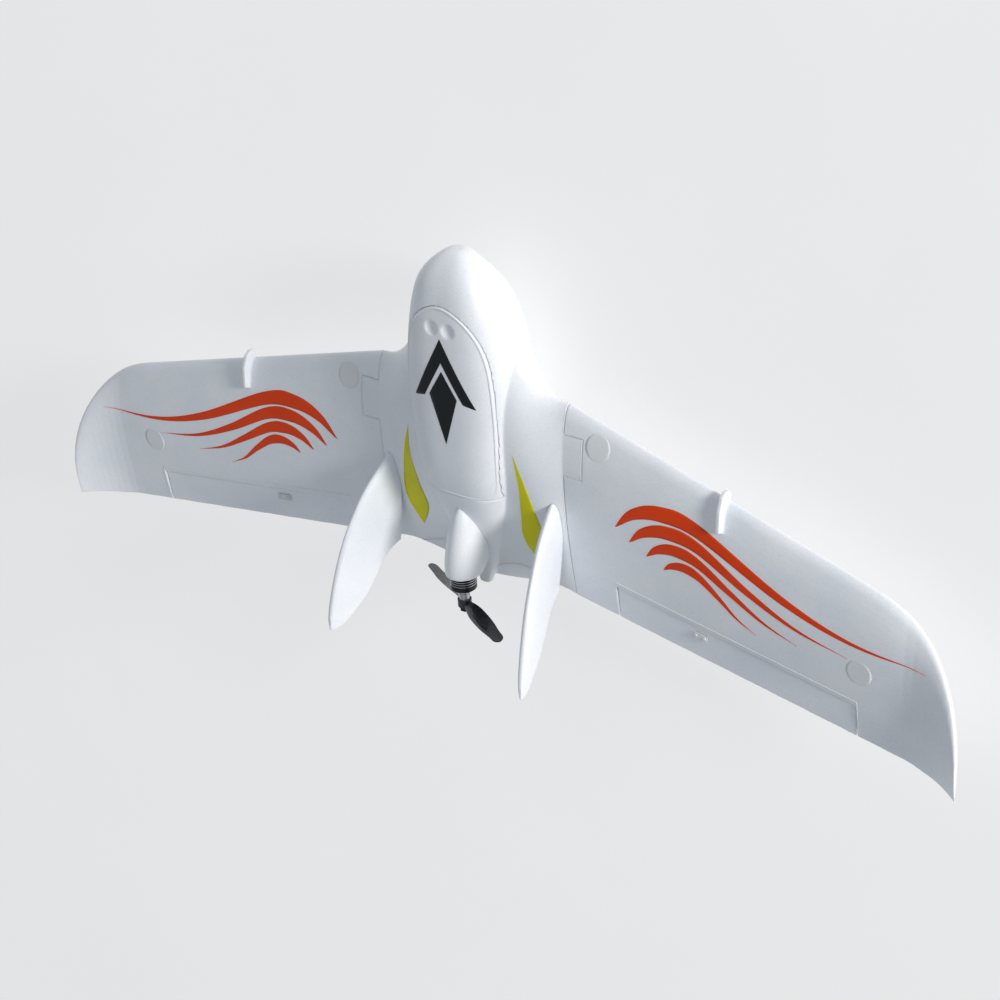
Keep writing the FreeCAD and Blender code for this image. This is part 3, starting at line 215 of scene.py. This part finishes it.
def carbon_material():
    """Carbon tube: a twill weave under clear resin."""
    material, tree, shader, place = node_material("carbon")
    turn = tree.nodes.new("ShaderNodeMapping")
    turn.inputs["Rotation"].default_value = (0.0, 0.0, math.radians(45))
    tree.links.new(place, turn.inputs["Vector"])
    weave = tree.nodes.new("ShaderNodeTexChecker")
    weave.inputs["Scale"].default_value = 420.0
    tree.links.new(turn.outputs["Vector"], weave.inputs["Vector"])
    shade = ramp(tree, weave.outputs["Fac"],
                 [(0.0, (0.010, 0.010, 0.012)), (1.0, (0.035, 0.035, 0.040))])
    tree.links.new(shade, shader.inputs["Base Color"])
    tree.links.new(spread(tree, weave.outputs["Fac"], 0, 1, 0.28, 0.42), shader.inputs["Roughness"])
    shader.inputs["Coat Weight"].default_value = 0.8
    shader.inputs["Coat Roughness"].default_value = 0.08
    bump(tree, shader, [(weave.outputs["Fac"], 0.1, 0.0001)])
    return material


def webbing_material():
    """Woven hook-and-loop strap."""
    material, tree, shader, place = node_material("webbing")
    warp = tree.nodes.new("ShaderNodeTexWave")
    warp.inputs["Scale"].default_value = 260.0
    warp.inputs["Distortion"].default_value = 1.5
    tree.links.new(place, warp.inputs["Vector"])
    shade = ramp(tree, warp.outputs["Fac"], [(0.2, (0.010, 0.010, 0.011)), (0.8, (0.04, 0.04, 0.043))])
    tree.links.new(shade, shader.inputs["Base Color"])
    tree.links.new(spread(tree, warp.outputs["Fac"], 0, 1, 0.8, 0.95), shader.inputs["Roughness"])
    shader.inputs["Sheen Weight"].default_value = 0.4
    bump(tree, shader, [(warp.outputs["Fac"], 0.5, 0.0004)])
    return material


FOAM = foam_material()
ORANGE = vinyl_material("orange_film", (0.84, 0.060, 0.004))
YELLOW = vinyl_material("yellow_film", (0.72, 0.68, 0.008))
INK = vinyl_material("dark_film", (0.012, 0.016, 0.018), 0.3)
BLACK_PLASTIC = plastic_material("black_plastic", (0.022, 0.022, 0.024), 0.42)
NYLON = plastic_material("nylon", (0.80, 0.81, 0.82), 0.38)
PROP = plastic_material("prop_plastic", (0.020, 0.024, 0.030), 0.26, 900.0, 0.06, 0.3)
SERVO = plastic_material("servo_case", (0.03, 0.09, 0.35), 0.22, 700.0, 0.04, 0.4)
BATTERY = plastic_material("battery_wrap", (0.03, 0.10, 0.36), 0.25, 300.0, 0.25, 0.5)
SHRINK = plastic_material("heat_shrink", (0.02, 0.02, 0.024), 0.28, 260.0, 0.3, 0.5)
CASE = plastic_material("receiver_case", (0.035, 0.035, 0.04), 0.35)
RUBBER = plastic_material("grip_pad", (0.025, 0.025, 0.025), 0.85, 500.0, 0.5)
BLACK_METAL = metal_material("black_anodised", (0.045, 0.045, 0.05), 0.32, True)
STEEL = metal_material("steel", (0.60, 0.60, 0.62), 0.28)
ALUMINIUM = metal_material("aluminium", (0.83, 0.84, 0.85), 0.24, True)
LAMINATION = metal_material("lamination", (0.22, 0.21, 0.20), 0.45, True)
COPPER = metal_material("copper", (0.80, 0.36, 0.16), 0.3, True)
NICKEL = metal_material("nickel", (0.72, 0.71, 0.68), 0.16)
CARBON = carbon_material()
WEBBING = webbing_material()
RED_WIRE = plastic_material("red_wire", (0.45, 0.012, 0.010), 0.45, 500.0, 0.2)
BLACK_WIRE = plastic_material("black_wire", (0.018, 0.018, 0.020), 0.45, 500.0, 0.2)
PLUG = plastic_material("plug", (0.62, 0.40, 0.02), 0.4, 800.0, 0.1)
GOLD = metal_material("gold", (0.80, 0.58, 0.22), 0.22)

NODE_MATERIALS = {
    "main_spar": CARBON, "locating_pins": CARBON, "spar_sleeve_left": BLACK_PLASTIC,
    "spar_sleeve_right": BLACK_PLASTIC, "body_magnets": NICKEL, "hatch_magnets": NICKEL,
    "motor_mount": BLACK_PLASTIC, "motor_mount_screws": STEEL, "motor_base": BLACK_METAL,
    "motor_bearings": STEEL, "motor_stator": LAMINATION, "stator_windings": COPPER,
    "motor_bell": BLACK_METAL, "rotor_magnets": NICKEL, "motor_shaft": STEEL,
    "prop_adapter": ALUMINIUM, "propeller": PROP, "prop_washer": BLACK_METAL, "prop_nut": BLACK_METAL,
    "battery_pad": RUBBER, "battery": BATTERY, "battery_strap": WEBBING,
    "speed_controller": SHRINK, "receiver": CASE,
}
for side_name, _ in SIDES:
    NODE_MATERIALS.update({
        f"servo_{side_name}": SERVO, f"servo_arm_{side_name}": NYLON, f"pushrod_{side_name}": STEEL,
        f"control_horn_{side_name}": NYLON, f"horn_backplate_{side_name}": NYLON,
        f"horn_screws_{side_name}": NYLON})


def set_material(obj, material):
    """Give an object one material and no other."""
    obj.data.materials.clear()
    obj.data.materials.append(material)


for node, material in NODE_MATERIALS.items():
    set_material(NODES[node], material)


# ---------------------------------------------------------------- mesh helpers
def link(mesh, name, material):
    """A mesh as an object in the scene."""
    obj = bpy.data.objects.new(name, mesh)
    bpy.context.scene.collection.objects.link(obj)
    set_material(obj, material)
    return obj


def apply_modifiers(obj):
    """Replace an object's mesh by its evaluated mesh."""
    depsgraph = bpy.context.evaluated_depsgraph_get()
    mesh = bpy.data.meshes.new_from_object(obj.evaluated_get(depsgraph), depsgraph=depsgraph)
    old = obj.data
    obj.modifiers.clear()
    obj.data = mesh
    bpy.data.meshes.remove(old)


FINE_VOXEL, QUICK_VOXEL = 0.0010, 0.0022
FACES_KEPT = 0.3


def moulded(nodes, name, voxel, rounds):
    """A foam moulding: the CAD shape with its edges softened as a mould leaves them."""
    mesh = bpy.data.meshes.new(name)
    work = bmesh.new()
    for node in nodes:
        work.from_mesh(NODES[node].data)
    bmesh.ops.remove_doubles(work, verts=work.verts, dist=1e-6)
    work.to_mesh(mesh)
    work.free()
    obj = link(mesh, name, FOAM)
    grid = obj.modifiers.new("grid", "REMESH")
    grid.mode = "VOXEL"
    grid.voxel_size = voxel
    soften = obj.modifiers.new("soften", "SMOOTH")
    soften.factor = 0.5
    soften.iterations = rounds
    thin = obj.modifiers.new("thin", "DECIMATE")
    thin.ratio = FACES_KEPT
    apply_modifiers(obj)
    for polygon in obj.data.polygons:
        polygon.use_smooth = True
    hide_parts(*nodes)
    return obj


def foam_pieces():
    """Every moulding of the airframe, and what each rides on."""
    voxel = FINE_VOXEL
    made = {}
    plan = [("centre_body_upper", "airframe", 6), ("centre_body_lower", "airframe", 6),
            ("motor_fairing", "airframe", 5), ("fin_left", "airframe", 3), ("fin_right", "airframe", 3),
            ("hatch_cover", "hatch", 4)]
    for name, _ in SIDES:
        plan += [(f"wing_{name}", f"wing_{name}", 2), (f"elevon_{name}", f"elevon_{name}", 1)]
    for node, body, rounds in plan:
        piece = moulded([node], f"{node}_skin", voxel, rounds)
        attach(piece, body)
        made[node] = piece
    return made


foam = foam_pieces()


# ---------------------------------------------------------------- pieces laid on the foam
def surface(obj):
    """A finished piece as a tree that rays can meet."""
    mesh = obj.data
    return BVHTree.FromPolygons([v.co for v in mesh.vertices], [f.vertices for f in mesh.polygons])


TOPS = {node: surface(piece) for node, piece in foam.items()}
DOWN = Vector((0, 0, -1))
UP = Vector((0, 0, 1))


def drop(node, x, y):
    """The upper surface of a foam piece above a point of the plan view, with its normal."""
    spot, normal, _, _ = TOPS[node].ray_cast(Vector((x, y, 1.0)), DOWN)
    if spot is None:
        spot, normal, _, _ = TOPS[node].find_nearest(Vector((x, y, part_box(node)[1].z)))
    return spot, normal


def smooth_line(points, count):
    """Evenly numbered points along a curve through given points."""
    ends = [points[0] * 2 - points[1]] + points + [points[-1] * 2 - points[-2]]
    result = []
    spans = len(points) - 1
    for i in range(count):
        at = spans * i / (count - 1)
        k = min(int(at), spans - 1)
        t = at - k
        a, b, c, d = ends[k:k + 4]
        result.append(0.5 * (2 * b + (c - a) * t + (2 * a - 5 * b + 4 * c - d) * t * t
                             + (3 * b - a - 3 * c + d) * t ** 3))
    return result


def straight_line(points, count):
    """Points along straight runs, the same number on each run, so that corners stay sharp."""
    spans = len(points) - 1
    each = max(2, count // spans)
    result = [points[0]]
    for start, end in zip(points, points[1:]):
        result += [start.lerp(end, (i + 1) / each) for i in range(each)]
    return result


FILM_LIFT, FILM_ROOT = 0.22 * MM, 0.4 * MM  # above and below the foam's surface


def film(name, node, edges, material, body, columns=6, lift=FILM_LIFT):
    """A closed thin sheet between two edge lines of the plan view, dropped onto a foam piece."""
    work = bmesh.new()
    upper, lower = [], []
    for left, right in zip(*edges):
        top_row, low_row = [], []
        for i in range(columns + 1):
            above = left.lerp(right, i / columns)
            spot, normal = drop(node, above.x, above.y)
            top_row.append(work.verts.new(spot + normal * lift))
            low_row.append(work.verts.new(spot - normal * FILM_ROOT))
        upper.append(top_row)
        lower.append(low_row)
    rows = len(upper)
    for i in range(rows - 1):
        for j in range(columns):
            work.faces.new((upper[i][j], upper[i][j + 1], upper[i + 1][j + 1], upper[i + 1][j]))
            work.faces.new((lower[i][j], lower[i + 1][j], lower[i + 1][j + 1], lower[i][j + 1]))
    for i in range(rows - 1):
        for j in (0, columns):
            work.faces.new((upper[i][j], upper[i + 1][j], lower[i + 1][j], lower[i][j]))
    for i in (0, rows - 1):
        for j in range(columns):
            work.faces.new((upper[i][j], lower[i][j], lower[i][j + 1], upper[i][j + 1]))
    bmesh.ops.recalc_face_normals(work, faces=work.faces[:])
    for face in work.faces:
        face.smooth = face.normal.z > 0.2
    mesh = bpy.data.meshes.new(name)
    work.to_mesh(mesh)
    work.free()
    piece = link(mesh, name, material)
    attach(piece, body)
    return piece


def bead(name, spots, radius, material, body, slot="foam", closed=False):
    """A round bead or lead through points in space."""
    curve = bpy.data.curves.new(name, "CURVE")
    curve.dimensions = "3D"
    curve.bevel_depth = radius
    curve.bevel_resolution = 3
    curve.use_fill_caps = not closed
    spline = curve.splines.new("POLY")
    spline.points.add(len(spots) - 1)
    for point, spot in zip(spline.points, spots):
        point.co = (*spot, 1)
    spline.use_cyclic_u = closed
    rail = bpy.data.objects.new(name, curve)
    bpy.context.scene.collection.objects.link(rail)
    depsgraph = bpy.context.evaluated_depsgraph_get()
    mesh = bpy.data.meshes.new_from_object(rail.evaluated_get(depsgraph), depsgraph=depsgraph)
    bpy.data.objects.remove(rail)
    piece = link(mesh, name, material)
    for polygon in mesh.polygons:
        polygon.use_smooth = True
    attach(piece, body)
    return piece


def lie_on(node, corners, spacing, sink):
    """Points along straight runs of the plan view, dropped onto a foam piece and sunk a little."""
    spots = []
    for start, end in zip(corners, corners[1:]):
        steps = max(2, round((end - start).length / spacing))
        spots += [start.lerp(end, i / steps) for i in range(steps)]
    spots.append(corners[-1])
    result = []
    for above in spots:
        spot, normal = drop(node, above.x, above.y)
        result.append(spot - normal * sink)
    return result


def flat(x, y):
    """A point of the plan view, given in millimetres."""
    return Vector((x * MM, y * MM))


def mirrored(side, points):
    """Points of the plan view on one side, from those of the left side in millimetres."""
    return [flat(side * x, y) for x, y in points]


# ---------------------------------------------------------------- film graphics
STREAKS = [  # the spine of each swept streak on a wing, from its root to its tip, and its widest
    (((188, 50), (212, 27), (245, 17), (291, 24), (392, 74), (470, 98), (556, 104)), 19.0),
    (((205, 64), (224, 46), (252, 37), (290, 43), (350, 78), (406, 104), (467, 118)), 17.0),
    (((226, 75), (241, 62), (262, 56), (290, 62), (330, 87), (368, 110), (408, 125)), 15.0),
    (((247, 85), (258, 77), (274, 74), (292, 80), (315, 98), (336, 117), (359, 130)), 12.0),
]


def streak_edges(side, spots, widest):
    """The two edges of a streak that swells quickly from its root and tapers to its tip."""
    count = 60
    spine = smooth_line(mirrored(side, spots), count)
    left, right = [], []
    for i, spot in enumerate(spine):
        ahead = (spine[min(i + 1, count - 1)] - spine[max(i - 1, 0)]).normalized()
        t = i / (count - 1)
        grow, fade = min(1.0, t / 0.42), min(1.0, (1 - t) / 0.58)
        swell = math.sin(math.pi / 2 * grow) ** 0.8 * max(0.0, fade) ** 1.2
        half = max(0.1, widest / 2 * swell) * MM
        across = Vector((-ahead.y, ahead.x)) * half
        left.append(spot + across)
        right.append(spot - across)
    return left, right


def wing_streaks():
    """Four swept streaks of orange film on each wing."""
    for name, side in SIDES:
        for i, streak in enumerate(STREAKS):
            film(f"wing_streak_{name}_{i + 1}", f"wing_{name}", streak_edges(side, *streak), ORANGE,
                 f"wing_{name}", 6)


def shoulder_flashes():
    """A crescent of yellow film on each shoulder, between the hatch and the fin."""
    outer = [(70, -10), (79, 18), (88, 55), (93.5, 94), (80, 133)]
    inner = [(70, -9), (73, 30), (69, 70), (65, 104), (79, 134)]
    for name, side in SIDES:
        edges = [smooth_line(mirrored(side, line), 36) for line in (outer, inner)]
        film(f"shoulder_flash_{name}", "centre_body_upper", edges, YELLOW, "airframe", 8)


def hatch_arrow():
    """A plain arrowhead and lozenge of dark film on the hatch, pointing forward."""
    outer = mirrored(1, [(-40, -66), (0, -142), (40, -66)])
    inner = mirrored(1, [(-25, -70), (0, -114), (25, -70)])
    left = mirrored(1, [(0, -104), (-18, -74), (0, -16)])
    right = mirrored(1, [(0, -104), (18, -74), (0, -16)])
    for name, edges in (("hatch_arrowhead", (outer, inner)), ("hatch_lozenge", (left, right))):
        lines = [straight_line(edge, 36) for edge in edges]
        film(name, "hatch_cover", lines, INK, "hatch", 8)


MARK_SPOTS = ((480, 131.5), (166, -36.5))
MARK_RADIUS, MARK_LIFT = 15, 0.1 * MM


def mould_marks():
    """The round marks that the mould's ejectors leave in the foam."""
    plan = [(f"wing_{name}", f"wing_{name}", side, spot) for name, side in SIDES
            for spot in MARK_SPOTS]
    count = 28
    for i, (node, body, side, (x, y)) in enumerate(plan):
        edges = [], []
        for k in range(count):
            turn = math.pi * (k + 0.5) / count
            for edge, sign in zip(edges, (-1, 1)):
                edge.append(flat(side * x + sign * MARK_RADIUS * math.sin(turn),
                                 y - MARK_RADIUS * math.cos(turn)))
        film(f"mould_mark_{i + 1}", node, edges, FOAM, body, 10, MARK_LIFT)


# ---------------------------------------------------------------- moulded lines
TAB_FRONT, TAB_REAR = -41.0, 6.5
TAB_INSET = 0.6
SEAM_INSET = 0.9


def edge_of(node, x, y, step):
    """Where a foam piece begins along a line of the plan view, in millimetres."""
    while TOPS[node].ray_cast(Vector((x * MM, y * MM, 1.0)), DOWN)[0] is None:
        y += step
    return y


def seam_beads():
    """The flash line that stands along each wing joint and round its lock tab."""
    upper = "centre_body_upper"
    tab_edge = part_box(upper)[1].x / MM
    for name, side in SIDES:
        low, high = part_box(f"wing_{name}")
        seam = min(abs(low.x), abs(high.x)) / MM - SEAM_INSET
        front = edge_of(upper, side * seam, -110, 0.5)
        rear = edge_of(upper, side * seam, 190, -0.5)
        corners = mirrored(side, [
            (seam, front + 5), (seam, TAB_FRONT), (tab_edge - TAB_INSET, TAB_FRONT + TAB_INSET),
            (tab_edge - TAB_INSET, TAB_REAR - TAB_INSET), (seam, TAB_REAR), (seam, rear - 2)])
        spots = lie_on(upper, corners, 2.5 * MM, 0.25 * MM)
        bead(f"seam_bead_{name}", spots, 0.7 * MM, FOAM, "airframe")


HINGE_AHEAD, HINGE_GAP, HINGE_RETURN = 6 * MM, 2.4 * MM, 36 * MM


def hinge_beads():
    """The raised line along each elevon's hinge, and its return at the outer end."""
    for name, side in SIDES:
        joint = next(j for j in frame["joints"] if j["name"] == f"elevon_{name}_hinge")
        axis, pivot = Vector(joint["axis"]), Vector(joint["pos_m"])
        low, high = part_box(f"elevon_{name}")
        inner, outer = sorted((abs(low.x), abs(high.x)))

        def on_hinge(x, ahead):
            spot = pivot + axis * ((side * x - pivot.x) / axis.x)
            return Vector((side * x, spot.y - ahead))

        corners = [on_hinge(inner, HINGE_AHEAD), on_hinge(outer + HINGE_GAP, HINGE_AHEAD),
                   on_hinge(outer + HINGE_GAP, -HINGE_RETURN)]
        spots = lie_on(f"wing_{name}", corners, 4 * MM, 0.35 * MM)
        bead(f"hinge_bead_{name}", spots, 0.9 * MM, FOAM, f"wing_{name}")


RIM_INSET, RIM_RADIUS = 3.4 * MM, 1.9 * MM
RIM_SMOOTHING = 10


def hatch_rim():
    """The rounded rim round the hatch's edge."""
    low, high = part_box("hatch_cover")
    middle = Vector((0, (low.y + high.y) / 2, low.z + 5 * MM))
    spots = []
    count = 150
    for i in range(count):
        turn = math.tau * i / count
        out = Vector((math.sin(turn) * 0.4, math.cos(turn), 0)).normalized()
        wall, _, _, _ = TOPS["hatch_cover"].ray_cast(middle + out * 0.4, -out)
        inside = wall - out * RIM_INSET
        top, normal = drop("hatch_cover", inside.x, inside.y)
        reach = RIM_INSET - 1.5 * MM
        edge = top + out * reach - UP * (normal.dot(out) / max(normal.z, 0.3) * reach)
        spots.append(edge - normal * 0.9 * MM)
    for _ in range(RIM_SMOOTHING):
        spots = [(spots[i - 1] + spots[i] * 2 + spots[(i + 1) % count]) / 4 for i in range(count)]
    return bead("hatch_rim", spots, RIM_RADIUS, FOAM, "hatch", "foam", True)


wing_streaks()
shoulder_flashes()
hatch_arrow()
mould_marks()
seam_beads()
hinge_beads()
hatch_rim()


# ---------------------------------------------------------------- motor trim
def motor_axis():
    """A point on the axis that the rotor turns about."""
    joint = next(j for j in frame["joints"] if j["name"] == "rotor_spin")
    return Vector(joint["pos_m"])


def turned(name, profile, material, body, tooth=0.0, segments=96):
    """A solid turned about the motor's axis, with teeth if they are given a depth.

    The profile is (radius, y) pairs in millimetres; the teeth are cut in its widest points.
    """
    centre = motor_axis()
    widest = max(r for r, _ in profile)
    work = bmesh.new()
    rings = []
    for i in range(segments):
        turn = math.tau * i / segments
        ring = []
        for r, y in profile:
            reach = (r - tooth if i % 4 > 1 and r == widest else r) * MM
            ring.append(work.verts.new((reach * math.sin(turn), y * MM,
                                        centre.z + reach * math.cos(turn))))
        rings.append(ring)
    count = len(profile)
    for i in range(segments):
        here, there = rings[i], rings[(i + 1) % segments]
        for k in range(count):
            n = (k + 1) % count
            work.faces.new((here[k], here[n], there[n], there[k]))
    bmesh.ops.recalc_face_normals(work, faces=work.faces[:])
    mesh = bpy.data.meshes.new(name)
    work.to_mesh(mesh)
    work.free()
    piece = link(mesh, name, material)
    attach(piece, body)
    return piece


BELL_BANDS = ((5.6, 0.0), (8.6, 0.0), (11.6, 0.0), (18.4, 0.35))  # along the bell, inset
STEM_REACH = 17.4


def motor_trim():
    """Bright machined bands round the bell, and the knurl of the propeller adapter."""
    low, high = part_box("motor_bell")
    radius = (high.x - low.x) / 2 / MM
    start = low.y / MM
    for i, (along, inset) in enumerate(BELL_BANDS):
        y, skin = start + along, radius - inset
        turned(f"bell_band_{i + 1}", [(skin - 0.4, y - 0.4), (skin + 0.12, y - 0.25),
                                      (skin + 0.12, y + 0.25), (skin - 0.4, y + 0.4)],
               ALUMINIUM, "rotor")
    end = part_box("prop_adapter")[1].y / MM - STEM_REACH
    profile = [(5.2, end - 6.4), (6.2, end - 6.4), (6.7, end - 5.9), (6.7, end - 0.5),
               (6.2, end), (5.2, end)]
    turned("adapter_knurl", profile, ALUMINIUM, "rotor", tooth=0.28, segments=160)


motor_trim()


# ---------------------------------------------------------------- trim of the equipment
def blocks(name, boxes, material, body, place=None, *, edge):
    """Bevelled blocks as one piece: (low, high) corners in millimetres, in a frame of their own."""
    work = bmesh.new()
    for low, high in boxes:
        made = bmesh.ops.create_cube(work, size=1.0)["verts"]
        for vert in made:
            for k in range(3):
                vert.co[k] = (low[k] if vert.co[k] < 0 else high[k]) * MM
    bmesh.ops.bevel(work, geom=work.edges[:], offset=edge * MM, segments=2, affect="EDGES")
    if place:
        work.transform(place)
    bmesh.ops.recalc_face_normals(work, faces=work.faces[:])
    mesh = bpy.data.meshes.new(name)
    work.to_mesh(mesh)
    work.free()
    piece = link(mesh, name, material)
    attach(piece, body)
    return piece


def loop_round(low, high, corner, level, axis):
    """Points round a rounded box at one level of an axis, just inside its skin."""
    u, v = [k for k in range(3) if k != axis]
    spots = []
    for cu, cv, start in ((1, 1, 0), (0, 1, 90), (0, 0, 180), (1, 0, 270)):
        for step in range(5):
            turn = math.radians(start + 22.5 * step)
            spot = Vector((0.0, 0.0, 0.0))
            spot[axis] = level
            spot[u] = (high[u] - corner if cu else low[u] + corner) + corner * math.cos(turn)
            spot[v] = (high[v] - corner if cv else low[v] + corner) + corner * math.sin(turn)
            spots.append(spot)
    return spots


def wrap_folds():
    """The doubled rims of the battery's and the controller's wraps, and the receiver's lid seam."""
    for node, material, slot, radius in (("battery", BATTERY, "battery_wrap", 0.5),
                                         ("speed_controller", SHRINK, "heat_shrink", 0.35)):
        low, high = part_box(node)
        corner = 0.8 * MM
        for i, inset in enumerate((1.6, 4.2)):
            for end, level in (("front", low.y + inset * MM), ("rear", high.y - inset * MM)):
                spots = loop_round(low, high, corner, level, 1)
                bead(f"{node}_fold_{end}_{i + 1}", spots, radius * MM, material, "airframe", slot, True)
    low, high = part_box("receiver")
    spots = loop_round(low, high, 2.0 * MM, low.z + 0.7 * (high.z - low.z), 2)
    bead("receiver_seam", spots, 0.3 * MM, CASE, "airframe", "receiver_case", True)


PIN_PITCH, PIN_HALF, PIN_HEIGHT = 2.54, 0.32, 6.2


def receiver_pins():
    """The header at the receiver's rear end: a black bar and six rows of three pins."""
    low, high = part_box("receiver")
    left, right, top, rear = low.x / MM, high.x / MM, high.z / MM, high.y / MM
    middle = (left + right) / 2
    header = (middle - 8.4, rear - 9.5, top - 0.4), (middle + 8.4, rear - 1.5, top + 1.6)
    blocks("receiver_header", [header], BLACK_PLASTIC, "airframe", edge=0.2)
    pins = []
    for column in range(6):
        for row in range(3):
            x, y = middle + PIN_PITCH * (column - 2.5), rear - 5.5 + PIN_PITCH * (row - 1)
            pins.append(((x - PIN_HALF, y - PIN_HALF, top),
                         (x + PIN_HALF, y + PIN_HALF, top + PIN_HEIGHT)))
    blocks("receiver_pins", pins, GOLD, "airframe", edge=0.08)


LEAD_RADIUS = 1.35 * MM


def power_leads():
    """The battery's two leads, over the bulkhead to the controller, with their plug between."""
    battery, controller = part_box("battery"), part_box("speed_controller")
    rear, front = battery[1].y / MM, controller[0].y / MM
    exit_z = battery[1].z / MM - 7
    entry_z = (controller[0].z + controller[1].z) / 2 / MM
    x = (controller[0].x + controller[1].x) / 2 / MM
    for name, shift, material in (("red", 2.2, RED_WIRE), ("black", -2.2, BLACK_WIRE)):
        points = [(8 + shift, rear - 1, exit_z), (8.5 + shift, rear + 5, exit_z + 8),
                  (11 + shift, rear + 9, 60), (14 + shift, rear + 18, 69),
                  (17 + shift, front - 15, 69), (19 + shift, front - 4.5, 58),
                  (x + shift, front - 3.6, entry_z + 12), (x + shift, front + 1, entry_z)]
        line = smooth_line([Vector(point) * MM for point in points], 60)
        bead(f"power_lead_{name}", line, LEAD_RADIUS, material, "airframe", "heat_shrink")
    blocks("power_plug", [((9.5, rear + 15.5, 65.2), (21.5, rear + 23.5, 72.6)),
                          ((10.4, rear + 23.5, 66), (20.6, rear + 31, 71.8))],
           PLUG, "airframe", edge=0.8)


def servo_trim():
    """Each servo's lid and base seams, and the screws through its ears."""
    for name, side in SIDES:
        joint = next(j for j in frame["joints"] if j["child"] == f"servo_arm_{name}")
        out = Vector(joint["axis"]) * (1 if joint["axis"][0] * side > 0 else -1)
        up = (UP - out * out.dot(UP)).normalized()
        aft = up.cross(out) * side
        turn = Matrix((out, aft, up)).transposed().to_4x4()
        place = Matrix.Translation(Vector(joint["pos_m"])) @ turn
        bands = [((x, -16.95, -6.15), (x + 0.5, 6.15, 6.15)) for x in (11.6, 25.2)]
        blocks(f"servo_seams_{name}", bands, SERVO, f"wing_{name}", place, edge=0.1)
        screws = [((12.65, y - 1.0, -1.0), (13.1, y + 1.0, 1.0)) for y in (-19.2, 8.4)]
        blocks(f"servo_ear_screws_{name}", screws, STEEL, f"wing_{name}", place, edge=0.35)


wrap_folds()
receiver_pins()
power_leads()
servo_trim()


# ---------------------------------------------------------------- stage, light and camera
KEY_FROM = Vector((-0.88, -0.36, 0.20))
KEY_DISTANCE = 6.0
FLOOR_REACH = 12.0


def studio():
    """A pale floor that glows a little, one soft key from the starboard bow and an even surround."""
    floor_mesh = bpy.data.meshes.new("floor")
    work = bmesh.new()
    bmesh.ops.create_grid(work, x_segments=1, y_segments=1, size=FLOOR_REACH)
    work.to_mesh(floor_mesh)
    work.free()
    material, tree, shader, place = node_material("floor")
    shade = ramp(tree, noise(tree, place, 3.0),
                 [(0.3, (0.34, 0.34, 0.34)), (0.7, (0.36, 0.36, 0.36))])
    tree.links.new(shade, shader.inputs["Base Color"])
    shader.inputs["Roughness"].default_value = 0.8
    shader.inputs["Emission Color"].default_value = (1.0, 1.0, 1.0, 1)
    shader.inputs["Emission Strength"].default_value = 0.60
    floor = link(floor_mesh, "floor", material)

    world = bpy.data.worlds.new("surround")
    world.use_nodes = True
    world.node_tree.nodes["Background"].inputs["Color"].default_value = (0.88, 0.94, 1.0, 1)
    world.node_tree.nodes["Background"].inputs["Strength"].default_value = 0.42
    bpy.context.scene.world = world
    bpy.context.scene.view_settings.view_transform = "Standard"

    key = bpy.data.lights.new("key", "AREA")
    key.shape = "DISK"
    key.size = 1.5
    key.energy = 260
    key.color = (1.0, 0.99, 0.97)
    lamp = bpy.data.objects.new("key", key)
    bpy.context.scene.collection.objects.link(lamp)
    lamp.location = KEY_FROM.normalized() * KEY_DISTANCE
    lamp.rotation_euler = (-KEY_FROM).to_track_quat("-Z", "Y").to_euler()


CAMERA_SPOT = Vector((-1.3747, -1.2547, 1.8532))
CAMERA_AHEAD = Vector((0.5162, 0.5086, -0.6891))
CAMERA_UP = Vector((0.2595, -0.8596, -0.4400))
CAMERA_LENS = 85.26


def camera():
    """The viewing angle: above the starboard bow, turned so that the nose is up the picture."""
    data = bpy.data.cameras.new("camera")
    data.sensor_width = 36.0
    data.lens = CAMERA_LENS
    obj = bpy.data.objects.new("camera", data)
    bpy.context.scene.collection.objects.link(obj)
    ahead = CAMERA_AHEAD.normalized()
    across = ahead.cross(CAMERA_UP).normalized()
    up = across.cross(ahead)
    turn = Matrix((across, up, -ahead)).transposed().to_4x4()
    obj.matrix_world = Matrix.Translation(CAMERA_SPOT) @ turn
    bpy.context.scene.camera = obj


studio()
camera()
